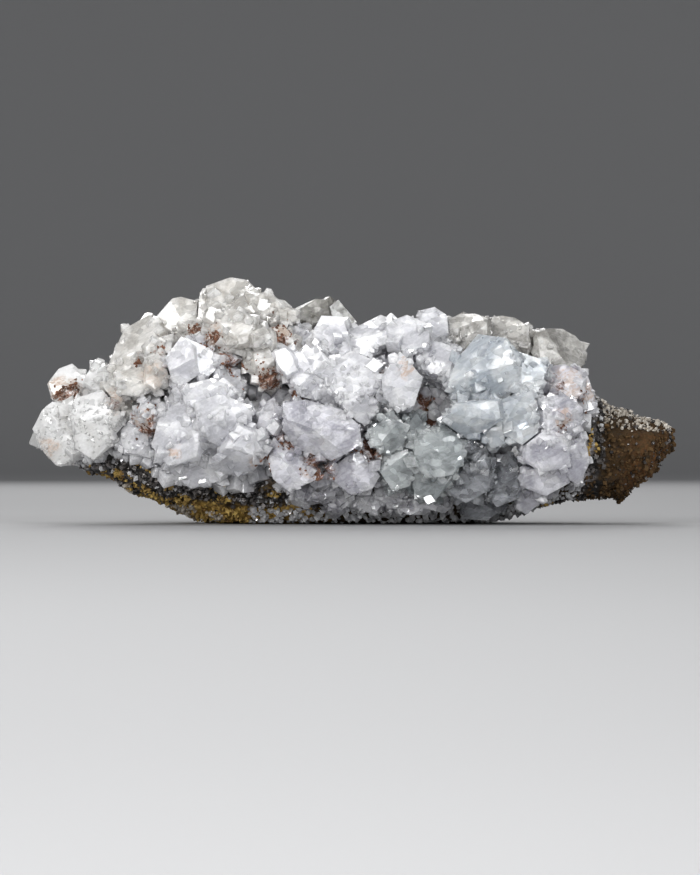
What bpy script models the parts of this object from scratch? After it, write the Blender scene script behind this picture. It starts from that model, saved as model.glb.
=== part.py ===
"""A calcite crystal cluster on its iron-stained matrix rock, about 120 mm long.

The rock is a loft through hand-chosen sections, roughened where it is bare and cut
flat underneath where it rests. Each large crystal is cut from a block by its own
faces. The smaller crystals are calcite forms (prism and rhombohedron faces about one
axis) grown over a shell around the rock. The crystals of one cluster are joined in
one solid, and each cluster stays clear of the rock and of the other clusters.
"""
import math
import random
from dataclasses import dataclass

import bmesh
import bpy
from mathutils import Matrix, Vector, noise

# Driving dimensions, in millimetres. X runs along the specimen, -Y is its front.
MM = 0.001
GAP = 0.3
FOOT_CLEARANCE = 0.5
INTERGROWTH = 0.3
PLACES_TRIED = 380
SEED = 11
BED_CLEARANCE = 0.38

# Sections along X: place, lowest and highest point, front and back.
ROCK_SECTIONS = (
    (-56, 14.0, 18.0, -5, 5),
    (-50, 9.5, 20.0, -11, 12),
    (-42, 4.6, 26.0, -17, 18),
    (-33, 1.4, 31.0, -20, 24),
    (-24, -1.1, 34.5, -22, 28),
    (-12, -1.3, 32.5, -22, 30),
    (0, -1.3, 29.5, -22, 30),
    (12, -1.3, 30.5, -21, 29),
    (22, -0.8, 30.0, -20, 27),
    (32, 1.6, 28.0, -20, 24),
    (40, 3.4, 25.5, -19, 21),
    (46, 3.6, 23.2, -17, 20),
    (50, 3.3, 22.6, -16, 18),
    (53, 5.6, 21.3, -14, 16),
    (56, 8.0, 20.7, -12, 14),
    (58.5, 11.2, 20.0, -9, 11),
    (60.6, 14.2, 18.2, -5, 7),
)
SHELL_SECTIONS = (
    (-58.5, 15.0, 21.0, -6, 6),
    (-52, 10.0, 25.0, -14, 14),
    (-45, 7.0, 30.0, -20, 19),
    (-38, 7.0, 36.5, -25, 24),
    (-30, 5.0, 40.0, -28, 28),
    (-22, 3.0, 43.0, -30, 31),
    (-12, 1.0, 39.5, -31, 33),
    (0, 1.0, 37.0, -31, 33),
    (12, 1.0, 38.5, -30, 32),
    (22, 1.0, 37.5, -29, 30),
    (32, 2.0, 35.0, -27, 26),
    (40, 4.0, 31.5, -24, 22),
    (46, 6.0, 26.0, -20, 18),
)
SECTION_POWER = 2.3
WIDEST_RING_SPACING = 9.5
ROCK_SIDES = 12
ROCK_LUMP = 0.8
PIT_DEPTH = 2.6
FOOT_RISE = 3.0

# How fine the rock's noise is, per mm: broad lumps, ledges and pits.
LUMP_FINENESS = 0.09
LEDGE_FINENESS = 0.21
PIT_FINENESS = 0.55

# Where the rock is free of crystals: past each end along X, and between two angles
# around its section, from the front. Left of BAND_START the front's band is bare too.
BARE_END = 47
BARE_LEFT_END = (215, 300)
BARE_FROM = 142
BARE_TO = 302
BARE_TO_WITH_BAND = 322
BAND_START = -19

# Fracture faces that broke the rock off: direction out of the rock (lean up, turn from
# the front to the right, in degrees) and distance from the specimen's middle.
FRACTURES = (
    (26, 172, 21.8),
    (-24, 160, 24.0),
    (-8, 196, 26.0),
    (44, 205, 26.0),
    (40, 150, 26.0),
    (-38, 92, 50.5),
    (8, 64, 60.5),
    (-6, 118, 60.0),
    (-52, 180, 23.0),
    (-46, 244, 36.5),
    (-30, 306, 45.0),
    (-62, 20, 24.5),
)
ROCK_MIDDLE = (0.0, 4.0, 17.0)

# Calcite form faces: polar angle of their normals from the crystal's long axis.
CLEAVAGE_RHOMB = 44.6
STEEP_RHOMB = 63.1
FLAT_RHOMB = 26.3
PRISM = 90.0

# Habits of the small crystals: each form's polar angle, its turn about the axis and the
# distance of its faces from the crystal's middle, as a share of its size.
HABITS = {
    "rhomb": ((CLEAVAGE_RHOMB, 0, 0.80), (STEEP_RHOMB, 60, 1.05)),
    "blocky": ((PRISM, 30, 0.82), (CLEAVAGE_RHOMB, 0, 0.95)),
    "nailhead": ((PRISM, 30, 0.78), (FLAT_RHOMB, 0, 0.88)),
}
HABIT_DRAW = ("rhomb", "blocky", "blocky", "nailhead")
FACE_SPREAD = (0.82, 1.12)
SWAY = 0.55
SET_BACK = 0.8
BURIED = 0.4
SMALLEST_SHARE = 0.35

# Proportions of a large crystal: how steep its rim is, how much it tapers to the back,
# how far behind its front the front face's plane stands and its narrowest ring.
RIM_SLOPE = 1.3
BACK_TAPER = 0.12
HEAD_SHARE = 0.35
NARROWEST = 0.2
LARGE_SIZE = 2.0
SHELL_RIM = 0.98


@dataclass(frozen=True)
class Crystal:
    """A large crystal: its outline seen from the front, and how it stands.

    outline: corner places (x, z). rise: how far its front stands out of the shell.
    lean and turn: tilt of its front face up and to the right, in degrees.
    rim: width of its bevelled rim. depth: length front to back.
    facets: further front faces (lean, turn, how far each is cut in).
    """

    outline: tuple
    rise: float = 1.0
    lean: float = 0.0
    turn: float = 0.0
    rim: float = 1.0
    depth: float = 11.0
    facets: tuple = ()


@dataclass(frozen=True)
class Cluster:
    """A cluster: its large crystals, and the patch of shell that its small ones cover.

    patch: from and to along X, then from and to around the section, in degrees from
    the front (0) over the top (90) to the back (180). spacing and sizes in mm.
    """

    crystals: tuple = ()
    patch: tuple = None
    spacing: float = 6.5
    sizes: tuple = (3.6, 5.2)
    sunk: float = 2.0
    material: str = "milky_calcite"


CLUSTERS = {
    "large_right_crystals": Cluster(
        crystals=(
            Crystal(
                ((22.4, 35.5), (27.6, 34.2), (30.1, 31.4), (29.7, 26.5), (26.3, 22.6),
                 (17.9, 21.4), (16.8, 25.7), (18.2, 30.2)),
                rise=3.2, lean=14, turn=-10, rim=1.5, depth=13,
                facets=((38, -38, 2.6), (-34, 4, 3.4)),
            ),
            Crystal(
                ((28.6, 32.2), (35.8, 29.9), (33.4, 24.4), (28.0, 24.8)),
                rise=2.4, lean=10, turn=22, rim=0.7, depth=11,
            ),
            Crystal(
                ((15.3, 19.2), (18.2, 22.4), (26.6, 23.2), (27.2, 19.6), (20.5, 15.4)),
                rise=3.4, lean=-18, turn=-12, rim=0.9, depth=11,
                facets=((-46, -18, 2.2),),
            ),
            Crystal(
                ((25.2, 22.6), (32.5, 24.8), (33.4, 17.0), (30.4, 14.7), (26.8, 16.6)),
                rise=1.8, lean=-8, turn=14, rim=0.9, depth=10,
            ),
            Crystal(
                ((23.0, 17.4), (26.9, 19.2), (27.3, 14.9), (24.8, 14.0)),
                rise=0.6, lean=-24, turn=6, rim=0.6, depth=9,
            ),
        ),
        material="clear_calcite",
    ),
    "large_lilac_crystals": Cluster(
        crystals=(
            Crystal(
                ((-13.2, 22.4), (-9.1, 23.2), (-2.2, 21.2), (0.7, 18.4), (1.2, 14.9),
                 (-4.2, 11.6), (-11.5, 14.0), (-12.9, 17.1)),
                rise=3.4, lean=-12, turn=8, rim=1.5, depth=12,
                facets=((36, 10, 2.6), (-42, -24, 2.8)),
            ),
            Crystal(
                ((-4.6, 10.4), (0.8, 14.4), (4.6, 9.1), (3.1, 6.6), (-0.7, 5.6), (-3.9, 7.9)),
                rise=2.6, lean=-20, turn=16, rim=0.9, depth=11,
                facets=((-8, -36, 2.4),),
            ),
            Crystal(
                ((-16.0, 12.6), (-14.1, 14.7), (-10.2, 14.0), (-7.4, 11.5), (-6.4, 8.7),
                 (-12.3, 6.1), (-15.0, 8.5)),
                rise=2.0, lean=-16, turn=-14, rim=1.0, depth=11,
                facets=((18, 26, 2.2),),
            ),
        ),
        patch=(-17, 5, -42, -6),
        sizes=(2.8, 3.8),
        spacing=5.5,
        material="lilac_calcite",
    ),
    "left_boss_crystals": Cluster(
        crystals=(
            Crystal(
                ((-37.2, 14.5), (-36.0, 19.2), (-33.2, 22.6), (-28.4, 23.0), (-26.6, 17.5),
                 (-28.3, 11.9), (-34.2, 10.9)),
                rise=2.8, lean=-6, turn=-18, rim=1.2, depth=12,
                facets=((34, -12, 2.6),),
            ),
            Crystal(
                ((-29.4, 22.4), (-24.6, 24.1), (-18.8, 21.8), (-18.6, 17.3), (-23.9, 13.9),
                 (-28.2, 16.4)),
                rise=2.4, lean=12, turn=4, rim=1.0, depth=11,
                facets=((-24, 22, 2.4),),
            ),
            Crystal(
                ((-24.9, 14.1), (-21.4, 19.4), (-16.9, 17.2), (-16.2, 12.6), (-20.1, 8.9),
                 (-24.4, 9.2)),
                rise=3.6, lean=-14, turn=10, rim=1.1, depth=12,
                facets=((-50, -4, 3.0),),
            ),
            Crystal(
                ((-33.6, 12.3), (-27.6, 15.9), (-23.5, 13.4), (-24.3, 8.2), (-30.2, 6.6),
                 (-34.3, 10.0)),
                rise=2.4, lean=-26, turn=-8, rim=1.0, depth=11,
            ),
            Crystal(
                ((-31.6, 25.6), (-26.1, 27.0), (-20.9, 24.8), (-21.7, 20.9), (-27.6, 20.5),
                 (-31.2, 22.2)),
                rise=1.2, lean=24, turn=-6, rim=0.9, depth=10,
                facets=((6, 34, 2.0),),
            ),
        ),
        patch=(-45, -17, -34, 18),
        sizes=(3.2, 4.6),
        spacing=6.0,
    ),
    "upper_left_crystals": Cluster(
        crystals=(
            Crystal(
                ((-46.0, 28.7), (-44.8, 32.5), (-43.3, 36.8), (-38.1, 39.4), (-35.3, 36.2),
                 (-37.0, 31.0), (-39.8, 28.2), (-42.8, 27.2)),
                rise=1.4, lean=16, turn=-22, rim=1.1, depth=12,
                facets=((44, -40, 3.2),),
            ),
            Crystal(
                ((-38.4, 37.0), (-34.0, 42.0), (-32.5, 42.4), (-29.3, 41.6), (-29.7, 36.7),
                 (-32.9, 34.8), (-36.0, 35.6)),
                rise=2.2, lean=6, turn=-14, rim=0.8, depth=11,
                facets=((28, 22, 2.2),),
            ),
            Crystal(
                ((-39.4, 32.9), (-37.3, 34.9), (-34.5, 34.1), (-35.3, 30.2), (-38.5, 30.0)),
                rise=1.6, lean=-4, turn=12, rim=1.0, depth=10,
            ),
            Crystal(
                ((-44.3, 28.0), (-38.5, 29.3), (-36.8, 25.7), (-39.6, 23.5), (-43.5, 24.0)),
                rise=2.0, lean=-12, turn=-8, rim=0.9, depth=10,
                facets=((30, 10, 1.8),),
            ),
            Crystal(
                ((-38.6, 29.9), (-35.1, 30.8), (-34.0, 26.9), (-36.6, 24.2), (-38.8, 25.8)),
                rise=0.6, lean=10, turn=18, rim=0.7, depth=9,
            ),
        ),
        patch=(-46, -32, 20, 120),
        spacing=8.2,
        material="cream_calcite",
    ),
    "left_end_crystals": Cluster(
        crystals=(
            Crystal(
                ((-57.6, 26.1), (-55.7, 29.1), (-53.1, 30.2), (-51.6, 28.9), (-50.3, 27.2),
                 (-51.2, 23.1), (-54.0, 21.0), (-56.8, 23.3)),
                rise=1.2, lean=8, turn=-12, rim=1.2, depth=10,
                facets=((44, 0, 2.6), (-30, 24, 2.2)),
            ),
            Crystal(
                ((-50.8, 26.8), (-47.8, 31.2), (-45.4, 31.7), (-44.3, 28.7), (-46.0, 25.3),
                 (-49.4, 24.4)),
                rise=0.0, lean=26, turn=-16, rim=0.8, depth=10,
            ),
            Crystal(
                ((-60.2, 17.7), (-58.3, 21.1), (-56.4, 22.9), (-53.1, 22.4), (-50.0, 20.5),
                 (-50.2, 15.0), (-52.7, 10.9), (-55.3, 10.8), (-57.9, 13.2)),
                rise=0.8, lean=-4, turn=-24, rim=1.2, depth=10,
                facets=((30, 16, 2.4),),
            ),
            Crystal(
                ((-52.0, 23.3), (-46.7, 25.0), (-43.6, 21.2), (-44.1, 15.0), (-48.2, 11.8),
                 (-51.6, 14.1), (-52.4, 19.4)),
                rise=1.6, lean=-8, turn=-6, rim=1.1, depth=11,
                facets=((26, -22, 2.2),),
            ),
        ),
        patch=(-58, -43, -38, 130),
        sizes=(3.0, 4.4),
        spacing=6.0,
        material="cream_calcite",
    ),
    "centre_crystals": Cluster(
        crystals=(
            Crystal(
                ((8.1, 31.9), (12.3, 26.9), (10.8, 21.8), (8.0, 20.9), (5.1, 23.3), (4.6, 27.1)),
                rise=4.0, lean=-10, turn=20, rim=0.6, depth=12,
                facets=((24, -34, 1.6),),
            ),
            Crystal(
                ((-2.2, 35.4), (4.8, 39.0), (6.8, 37.9), (6.3, 33.4), (2.3, 30.2), (-1.2, 32.1)),
                rise=2.6, lean=18, turn=-20, rim=0.7, depth=12,
                facets=((52, -34, 2.2),),
            ),
            Crystal(
                ((-6.3, 38.7), (-2.2, 38.5), (-1.6, 35.5), (-0.4, 31.7), (-4.4, 29.1), (-8.0, 32.1),
                 (-7.8, 35.5)),
                rise=2.0, lean=4, turn=-6, rim=0.6, depth=11,
                facets=((40, 4, 2.4),),
            ),
            Crystal(
                ((5.3, 37.0), (9.5, 38.7), (13.4, 37.0), (13.9, 33.0), (9.5, 30.4), (5.8, 32.7)),
                rise=1.8, lean=22, turn=8, rim=1.0, depth=12,
            ),
            Crystal(
                ((11.8, 39.6), (14.7, 40.3), (17.0, 38.8), (17.4, 35.3), (14.3, 33.4), (11.7, 36.0)),
                rise=1.4, lean=12, turn=14, rim=0.8, depth=11,
            ),
            Crystal(
                ((-14.7, 31.7), (-12.8, 32.7), (-10.6, 30.8), (-9.8, 27.8), (-12.4, 26.5),
                 (-14.4, 29.1)),
                rise=2.6, lean=8, turn=-14, rim=0.9, depth=11,
            ),
            Crystal(
                ((-11.2, 31.4), (-7.0, 32.6), (-4.0, 29.5), (-4.7, 24.2), (-9.3, 22.8), (-11.9, 26.1)),
                rise=1.8, lean=14, turn=-8, rim=1.0, depth=11,
                facets=((-20, 24, 2.2),),
            ),
            Crystal(
                ((-5.0, 29.5), (-0.7, 32.1), (3.9, 29.9), (5.0, 25.0), (0.1, 21.9), (-4.4, 23.7)),
                rise=2.6, lean=2, turn=10, rim=1.1, depth=12,
                facets=((34, -16, 2.6),),
            ),
            Crystal(
                ((-2.7, 23.7), (1.6, 24.5), (4.2, 21.6), (2.4, 18.4), (-1.6, 19.3)),
                rise=2.0, lean=-22, turn=6, rim=0.7, depth=10,
            ),
        ),
        patch=(-13, 18, 8, 102),
        spacing=9.6,
    ),
    "peak_crystals": Cluster(
        crystals=(
            Crystal(
                ((-27.8, 44.3), (-25.2, 44.9), (-23.3, 46.0), (-20.1, 45.6), (-17.9, 43.5),
                 (-18.6, 39.2), (-23.9, 38.0), (-28.0, 40.3)),
                rise=1.4, lean=26, turn=4, rim=1.0, depth=12,
                facets=((10, 34, 2.6),),
            ),
            Crystal(
                ((-32.4, 41.4), (-30.2, 42.6), (-27.2, 43.9), (-25.5, 39.8), (-27.8, 34.9),
                 (-31.4, 35.7)),
                rise=0.6, lean=14, turn=-10, rim=0.9, depth=11,
            ),
            Crystal(
                ((-20.1, 42.4), (-16.4, 43.2), (-14.3, 41.8), (-13.6, 38.6), (-17.1, 36.0),
                 (-20.5, 38.6)),
                rise=0.8, lean=10, turn=18, rim=0.9, depth=11,
            ),
            Crystal(
                ((-28.0, 38.7), (-22.0, 39.6), (-17.9, 37.9), (-18.8, 32.8), (-23.5, 31.5),
                 (-27.5, 33.2)),
                rise=2.2, lean=20, turn=-6, rim=1.1, depth=11,
                facets=((-8, -30, 2.4),),
            ),
            Crystal(
                ((-15.6, 39.4), (-13.4, 40.6), (-10.6, 39.8), (-10.2, 37.7), (-13.0, 36.4),
                 (-15.3, 37.3)),
                rise=2.2, lean=4, turn=8, rim=0.9, depth=10,
            ),
            Crystal(
                ((-19.0, 35.5), (-16.4, 36.4), (-15.2, 34.4), (-16.9, 32.6), (-19.0, 33.0)),
                rise=2.0, lean=12, turn=16, rim=0.6, depth=10,
            ),
        ),
        patch=(-31, -13, 25, 102),
        spacing=8.0,
        material="cream_calcite",
    ),
    "white_block_crystals": Cluster(
        crystals=(
            Crystal(
                ((-35.3, 29.9), (-31.7, 34.6), (-29.0, 32.7), (-28.4, 27.6), (-31.7, 25.3),
                 (-34.7, 26.9)),
                rise=3.0, lean=10, turn=-22, rim=0.7, depth=11,
                facets=((-26, -2, 2.0),),
            ),
            Crystal(
                ((-31.4, 34.6), (-29.9, 35.1), (-26.3, 32.9), (-24.9, 29.1), (-27.4, 26.5),
                 (-29.3, 28.0), (-30.3, 32.1)),
                rise=2.2, lean=12, turn=24, rim=0.7, depth=10,
            ),
        ),
        patch=(-33, -15, 2, 24),
        sizes=(3.0, 4.2),
    ),
    "top_right_crystals": Cluster(
        crystals=(
            Crystal(
                ((33.0, 36.0), (36.6, 36.5), (38.7, 36.6), (41.5, 35.3), (43.0, 33.4),
                 (43.1, 29.7), (38.7, 28.1), (33.6, 30.2)),
                rise=1.2, lean=18, turn=12, rim=1.0, depth=12,
                facets=((28, 46, 3.0),),
            ),
            Crystal(
                ((24.8, 38.5), (27.4, 38.9), (29.9, 38.5), (32.3, 36.8), (32.9, 32.8),
                 (28.5, 31.8), (25.0, 34.0)),
                rise=0.8, lean=30, turn=6, rim=1.0, depth=11,
            ),
            Crystal(
                ((17.1, 38.1), (19.7, 39.1), (22.2, 39.1), (25.2, 38.3), (25.2, 34.3),
                 (21.1, 32.6), (17.3, 34.3)),
                rise=0.6, lean=22, turn=-14, rim=0.9, depth=11,
            ),
        ),
        patch=(17, 44, 48, 104),
        spacing=9.2,
        material="cream_calcite",
    ),
    "right_flank_crystals": Cluster(
        crystals=(
            Crystal(
                ((34.7, 29.1), (38.6, 29.7), (41.4, 28.2), (42.4, 24.4), (39.2, 22.2), (35.5, 23.8)),
                rise=1.6, lean=6, turn=16, rim=1.0, depth=11,
                facets=((32, 2, 2.0),),
            ),
            Crystal(
                ((40.8, 29.4), (42.6, 28.3), (43.9, 24.5), (44.3, 22.2), (42.4, 20.6), (40.4, 24.0)),
                rise=0.4, lean=12, turn=38, rim=0.8, depth=10,
            ),
            Crystal(
                ((33.2, 23.1), (38.2, 24.1), (41.6, 21.6), (41.8, 17.3), (37.4, 15.0), (33.6, 17.7)),
                rise=2.0, lean=-2, turn=10, rim=1.0, depth=11,
                facets=((-30, 34, 2.2),),
            ),
            Crystal(
                ((30.2, 15.4), (34.2, 18.1), (39.2, 16.2), (39.4, 10.7), (34.2, 9.8), (30.6, 11.7)),
                rise=2.2, lean=-14, turn=4, rim=1.1, depth=10,
            ),
            Crystal(
                ((30.0, 10.4), (38.7, 11.4), (39.4, 7.8), (34.9, 5.3), (30.2, 7.2)),
                rise=2.4, lean=-24, turn=8, rim=0.8, depth=10,
            ),
            Crystal(
                ((38.4, 14.9), (42.0, 16.6), (43.0, 11.5), (41.0, 7.2), (38.4, 8.9)),
                rise=1.8, lean=-12, turn=24, rim=0.9, depth=10,
            ),
            Crystal(
                ((29.6, 7.0), (33.2, 8.3), (34.6, 4.4), (31.5, 1.9), (29.5, 3.1)),
                rise=2.2, lean=-20, turn=10, rim=0.7, depth=9,
            ),
        ),
        patch=(33, 44, -24, 42),
        sizes=(3.0, 4.2),
        spacing=6.0,
        material="lilac_calcite",
    ),
    "lower_centre_crystals": Cluster(
        crystals=(
            Crystal(
                ((2.3, 17.1), (5.9, 20.1), (9.7, 18.1), (8.9, 14.7), (6.1, 12.8), (3.1, 14.5)),
                rise=2.6, lean=-4, turn=-12, rim=0.7, depth=11,
                facets=((-30, 26, 2.0),),
            ),
            Crystal(
                ((10.4, 15.8), (14.3, 17.9), (18.3, 17.0), (20.5, 13.4), (17.9, 9.2), (13.2, 8.7),
                 (10.4, 11.3)),
                rise=2.4, lean=-12, turn=-4, rim=1.0, depth=11,
                facets=((22, 24, 2.4),),
            ),
            Crystal(
                ((10.4, 7.2), (10.8, 10.6), (15.1, 11.5), (18.5, 9.1), (13.9, 3.8), (11.1, 5.3)),
                rise=3.2, lean=-20, turn=-16, rim=0.8, depth=10,
            ),
            Crystal(
                ((5.5, 13.4), (9.8, 14.9), (11.2, 11.5), (10.0, 7.2), (6.5, 6.2), (3.9, 9.4)),
                rise=1.6, lean=-16, turn=12, rim=0.9, depth=10,
            ),
        ),
        patch=(4, 18, -44, -4),
        sizes=(2.8, 3.8),
        spacing=5.6,
        material="clear_calcite",
    ),
    "smoky_base_crystals": Cluster(
        crystals=(
            Crystal(
                ((24.2, 11.5), (28.5, 12.9), (32.2, 10.0), (31.7, 4.2), (27.4, 1.5), (24.6, 4.9)),
                rise=1.6, lean=-18, turn=6, rim=0.8, depth=10,
                facets=((8, -36, 2.2),),
            ),
            Crystal(
                ((16.9, 9.3), (21.1, 12.7), (25.2, 11.7), (25.0, 6.8), (20.3, 4.0), (17.1, 5.7)),
                rise=1.4, lean=-22, turn=-8, rim=0.9, depth=10,
            ),
            Crystal(
                ((19.4, 4.4), (24.4, 6.7), (27.4, 2.9), (24.4, 0.7), (20.1, 1.0)),
                rise=1.4, lean=-30, turn=4, rim=0.6, depth=9,
            ),
        ),
        patch=(17, 31, -48, -12),
        sizes=(2.6, 3.6),
        spacing=5.5,
        material="smoky_calcite",
    ),
    "ridge_crystals": Cluster(
        crystals=(
            Crystal(
                ((-11.3, 40.3), (-7.4, 42.1), (-5.0, 41.9), (-4.2, 38.1), (-8.5, 36.4), (-11.0, 37.9)),
                rise=-5.0, lean=10, turn=6, rim=0.9, depth=10,
            ),
            Crystal(
                ((-5.3, 41.1), (-3.1, 41.9), (0.3, 37.9), (-0.5, 35.0), (-4.6, 36.4)),
                rise=-6.5, lean=8, turn=22, rim=0.6, depth=9,
            ),
            Crystal(
                ((5.0, 38.8), (6.8, 41.1), (10.4, 41.4), (12.1, 39.8), (11.5, 36.9), (6.3, 36.5)),
                rise=-6.0, lean=12, turn=-4, rim=1.1, depth=9,
            ),
        ),
        material="cream_calcite",
    ),
    "back_left_crystals": Cluster(
        patch=(-33, -6, 102, 130),
        spacing=7.0,
        sizes=(5.6, 7.0),
        sunk=1.2,
    ),
    "back_right_crystals": Cluster(
        patch=(0, 36, 100, 128),
        spacing=8.4,
        sizes=(5.2, 6.6),
        sunk=1.2,
        material="cream_calcite",
    ),
    "base_crust_crystals": Cluster(
        patch=(-18, 16, -66, -48),
        spacing=4.2,
        sizes=(3.8, 4.6),
        sunk=0.2,
        material="lilac_calcite",
    ),
}

# Colour, roughness and transmission of each material.
FINISHES = {
    "milky_calcite": ((0.86, 0.87, 0.90), 0.22, 0.4),
    "cream_calcite": ((0.88, 0.85, 0.79), 0.24, 0.4),
    "lilac_calcite": ((0.82, 0.81, 0.89), 0.20, 0.5),
    "clear_calcite": ((0.80, 0.84, 0.88), 0.08, 0.8),
    "smoky_calcite": ((0.52, 0.52, 0.55), 0.10, 0.7),
    "limonite_rock": ((0.30, 0.18, 0.07), 0.85, 0.0),
}


def clear_scene():
    """Remove every object, so that the script can be run again."""
    for obj in list(bpy.data.objects):
        bpy.data.objects.remove(obj, do_unlink=True)


def make_material(name):
    """Return the named Principled material, made on first use."""
    if name in bpy.data.materials:
        return bpy.data.materials[name]
    colour, roughness, transmission = FINISHES[name]
    material = bpy.data.materials.new(name)
    material.use_nodes = True
    shader = material.node_tree.nodes["Principled BSDF"]
    shader.inputs["Base Color"].default_value = (*colour, 1.0)
    shader.inputs["Roughness"].default_value = roughness
    shader.inputs["Transmission Weight"].default_value = transmission
    material.diffuse_color = (*colour, 1.0)
    return material


def new_object(name, bm):
    """Make a mesh object in metres from a bmesh in millimetres."""
    bmesh.ops.recalc_face_normals(bm, faces=bm.faces)
    if bm.calc_volume(signed=True) < 0:
        bmesh.ops.reverse_faces(bm, faces=bm.faces)
    mesh = bpy.data.meshes.new(name)
    bm.to_mesh(mesh)
    mesh.transform(Matrix.Scale(MM, 4))
    obj = bpy.data.objects.new(name, mesh)
    bpy.context.scene.collection.objects.link(obj)
    return obj


def section_at(sections, x):
    """Blend the sections smoothly: returns lowest, highest, front and back at x."""
    x = min(max(x, sections[0][0]), sections[-1][0])
    for near, far in zip(sections, sections[1:]):
        if x <= far[0]:
            share = (x - near[0]) / (far[0] - near[0])
            share = share * share * (3 - 2 * share)
            return [a + (b - a) * share for a, b in zip(near[1:], far[1:])]
    return list(sections[-1][1:])


def on_section(sections, x, angle, grow=0.0):
    """Return the point of the rounded section at x, at an angle from the front."""
    low, high, front, back = section_at(sections, x)
    half_depth = (back - front) / 2 + grow
    half_height = (high - low) / 2 + grow
    across = math.cos(math.radians(angle))
    up = math.sin(math.radians(angle))
    power = 2 / SECTION_POWER
    y = (front + back) / 2 - half_depth * math.copysign(abs(across) ** power, across)
    z = (low + high) / 2 + half_height * math.copysign(abs(up) ** power, up)
    return Vector((x, y, z))


def outward_at(sections, x, angle):
    """Return the direction out of the shell at a place on it."""
    step = 1.5
    along = on_section(sections, x + step, angle) - on_section(sections, x - step, angle)
    around = on_section(sections, x, angle + step) - on_section(sections, x, angle - step)
    normal = around.cross(along).normalized()
    middle = on_section(sections, x, 0).lerp(on_section(sections, x, 180), 0.5)
    if normal.dot(on_section(sections, x, angle) - middle) < 0:
        normal.negate()
    return normal


def front_of_shell(x, z):
    """Return the y of the shell's front face at (x, z)."""
    low, high, front, back = section_at(SHELL_SECTIONS, x)
    height = min(abs(z - (low + high) / 2) / ((high - low) / 2), SHELL_RIM)
    reach = (1 - height ** SECTION_POWER) ** (1 / SECTION_POWER)
    return (front + back) / 2 - (back - front) / 2 * reach


def is_bare(x, angle):
    """Tell whether the rock is free of crystals at a place around its section."""
    angle %= 360
    if x > BARE_END:
        return True
    if x < -BARE_END:
        return BARE_LEFT_END[0] < angle < BARE_LEFT_END[1]
    under_front = BARE_TO if x > BAND_START else BARE_TO_WITH_BAND
    return BARE_FROM < angle < under_front


def rock_point(x, angle, grow=0.0):
    """Return a point of the rock's smooth bed, with its broad lumps."""
    point = on_section(ROCK_SECTIONS, x, angle, grow)
    middle = on_section(ROCK_SECTIONS, x, 0).lerp(on_section(ROCK_SECTIONS, x, 180), 0.5)
    lump = noise.noise(point * LUMP_FINENESS) * ROCK_LUMP
    return point + (point - middle).normalized() * lump


def rock_bmesh(grow=0.0):
    """Loft the rock's rings along X and cap both ends; grow makes the cutter for crystals."""
    bm = bmesh.new()
    places = [section[0] for section in ROCK_SECTIONS]
    wide = [(a + b) / 2 for a, b in zip(places, places[1:]) if b - a > WIDEST_RING_SPACING]
    stretch = 1 + 2 * grow / (places[-1] - places[0])
    rings = []
    for x in sorted(places + wide):
        angles = [360 * side / ROCK_SIDES for side in range(ROCK_SIDES)]
        points = [rock_point(x, angle, grow) for angle in angles]
        rings.append([bm.verts.new((p.x * stretch, p.y, p.z)) for p in points])
    for ring, following in zip(rings, rings[1:]):
        for side in range(ROCK_SIDES):
            after = (side + 1) % ROCK_SIDES
            bm.faces.new((ring[side], ring[after], following[after], following[side]))
    bm.faces.new(rings[0])
    bm.faces.new(rings[-1])
    bmesh.ops.recalc_face_normals(bm, faces=bm.faces)
    return bm


def angle_around(point):
    """Return the angle of a point around the rock's section, from the front."""
    low, high, front, back = section_at(ROCK_SECTIONS, point.x)
    across = (front + back) / 2 - point.y
    up = point.z - (low + high) / 2
    return math.degrees(math.atan2(up, across))


def roughen(bm):
    """Divide the rock's bare faces and sink pits and ledges into them."""
    edges = set()
    for face in bm.faces:
        middle = face.calc_center_median()
        if is_bare(middle.x, angle_around(middle)):
            edges.update(face.edges)
    bmesh.ops.subdivide_edges(bm, edges=list(edges), cuts=1, use_grid_fill=True)
    bm.normal_update()
    middle = Vector(ROCK_MIDDLE)
    moves = []
    for vert in bm.verts:
        if not is_bare(vert.co.x, angle_around(vert.co)):
            continue
        for lean, turn, distance in FRACTURES:
            direction = facing(lean, turn)
            beyond = direction.dot(vert.co - middle) - distance
            if beyond > 0:
                vert.co -= direction * beyond
        ledge = 0.5 + 0.5 * noise.cell(vert.co * LEDGE_FINENESS)
        grain = 0.5 + 0.5 * noise.noise(vert.co * PIT_FINENESS)
        off_foot = min(max(vert.co.z / FOOT_RISE, 0.0), 1.0)
        moves.append((vert, -vert.normal * PIT_DEPTH * off_foot * (0.5 * ledge + 0.5 * grain)))
    for vert, move in moves:
        vert.co += move


def make_rock():
    """Make the matrix rock, cut flat underneath where it rests."""
    bm = rock_bmesh()
    roughen(bm)
    bmesh.ops.triangulate(bm, faces=bm.faces)
    cleave(bm, Vector((0, 0, 0)), Vector((0, 0, -1)))
    obj = new_object("matrix_rock", bm)
    bm.free()
    obj.data.materials.append(make_material("limonite_rock"))
    return obj


def cleave(bm, point, normal):
    """Cut away what lies beyond a plane, and close the cut with a flat face."""
    geometry = bm.verts[:] + bm.edges[:] + bm.faces[:]
    bmesh.ops.bisect_plane(
        bm, geom=geometry, plane_co=point, plane_no=normal, clear_outer=True, dist=1e-4
    )
    rim = [edge for edge in bm.edges if edge.is_boundary]
    if rim:
        bmesh.ops.holes_fill(bm, edges=rim, sides=0)


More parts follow.
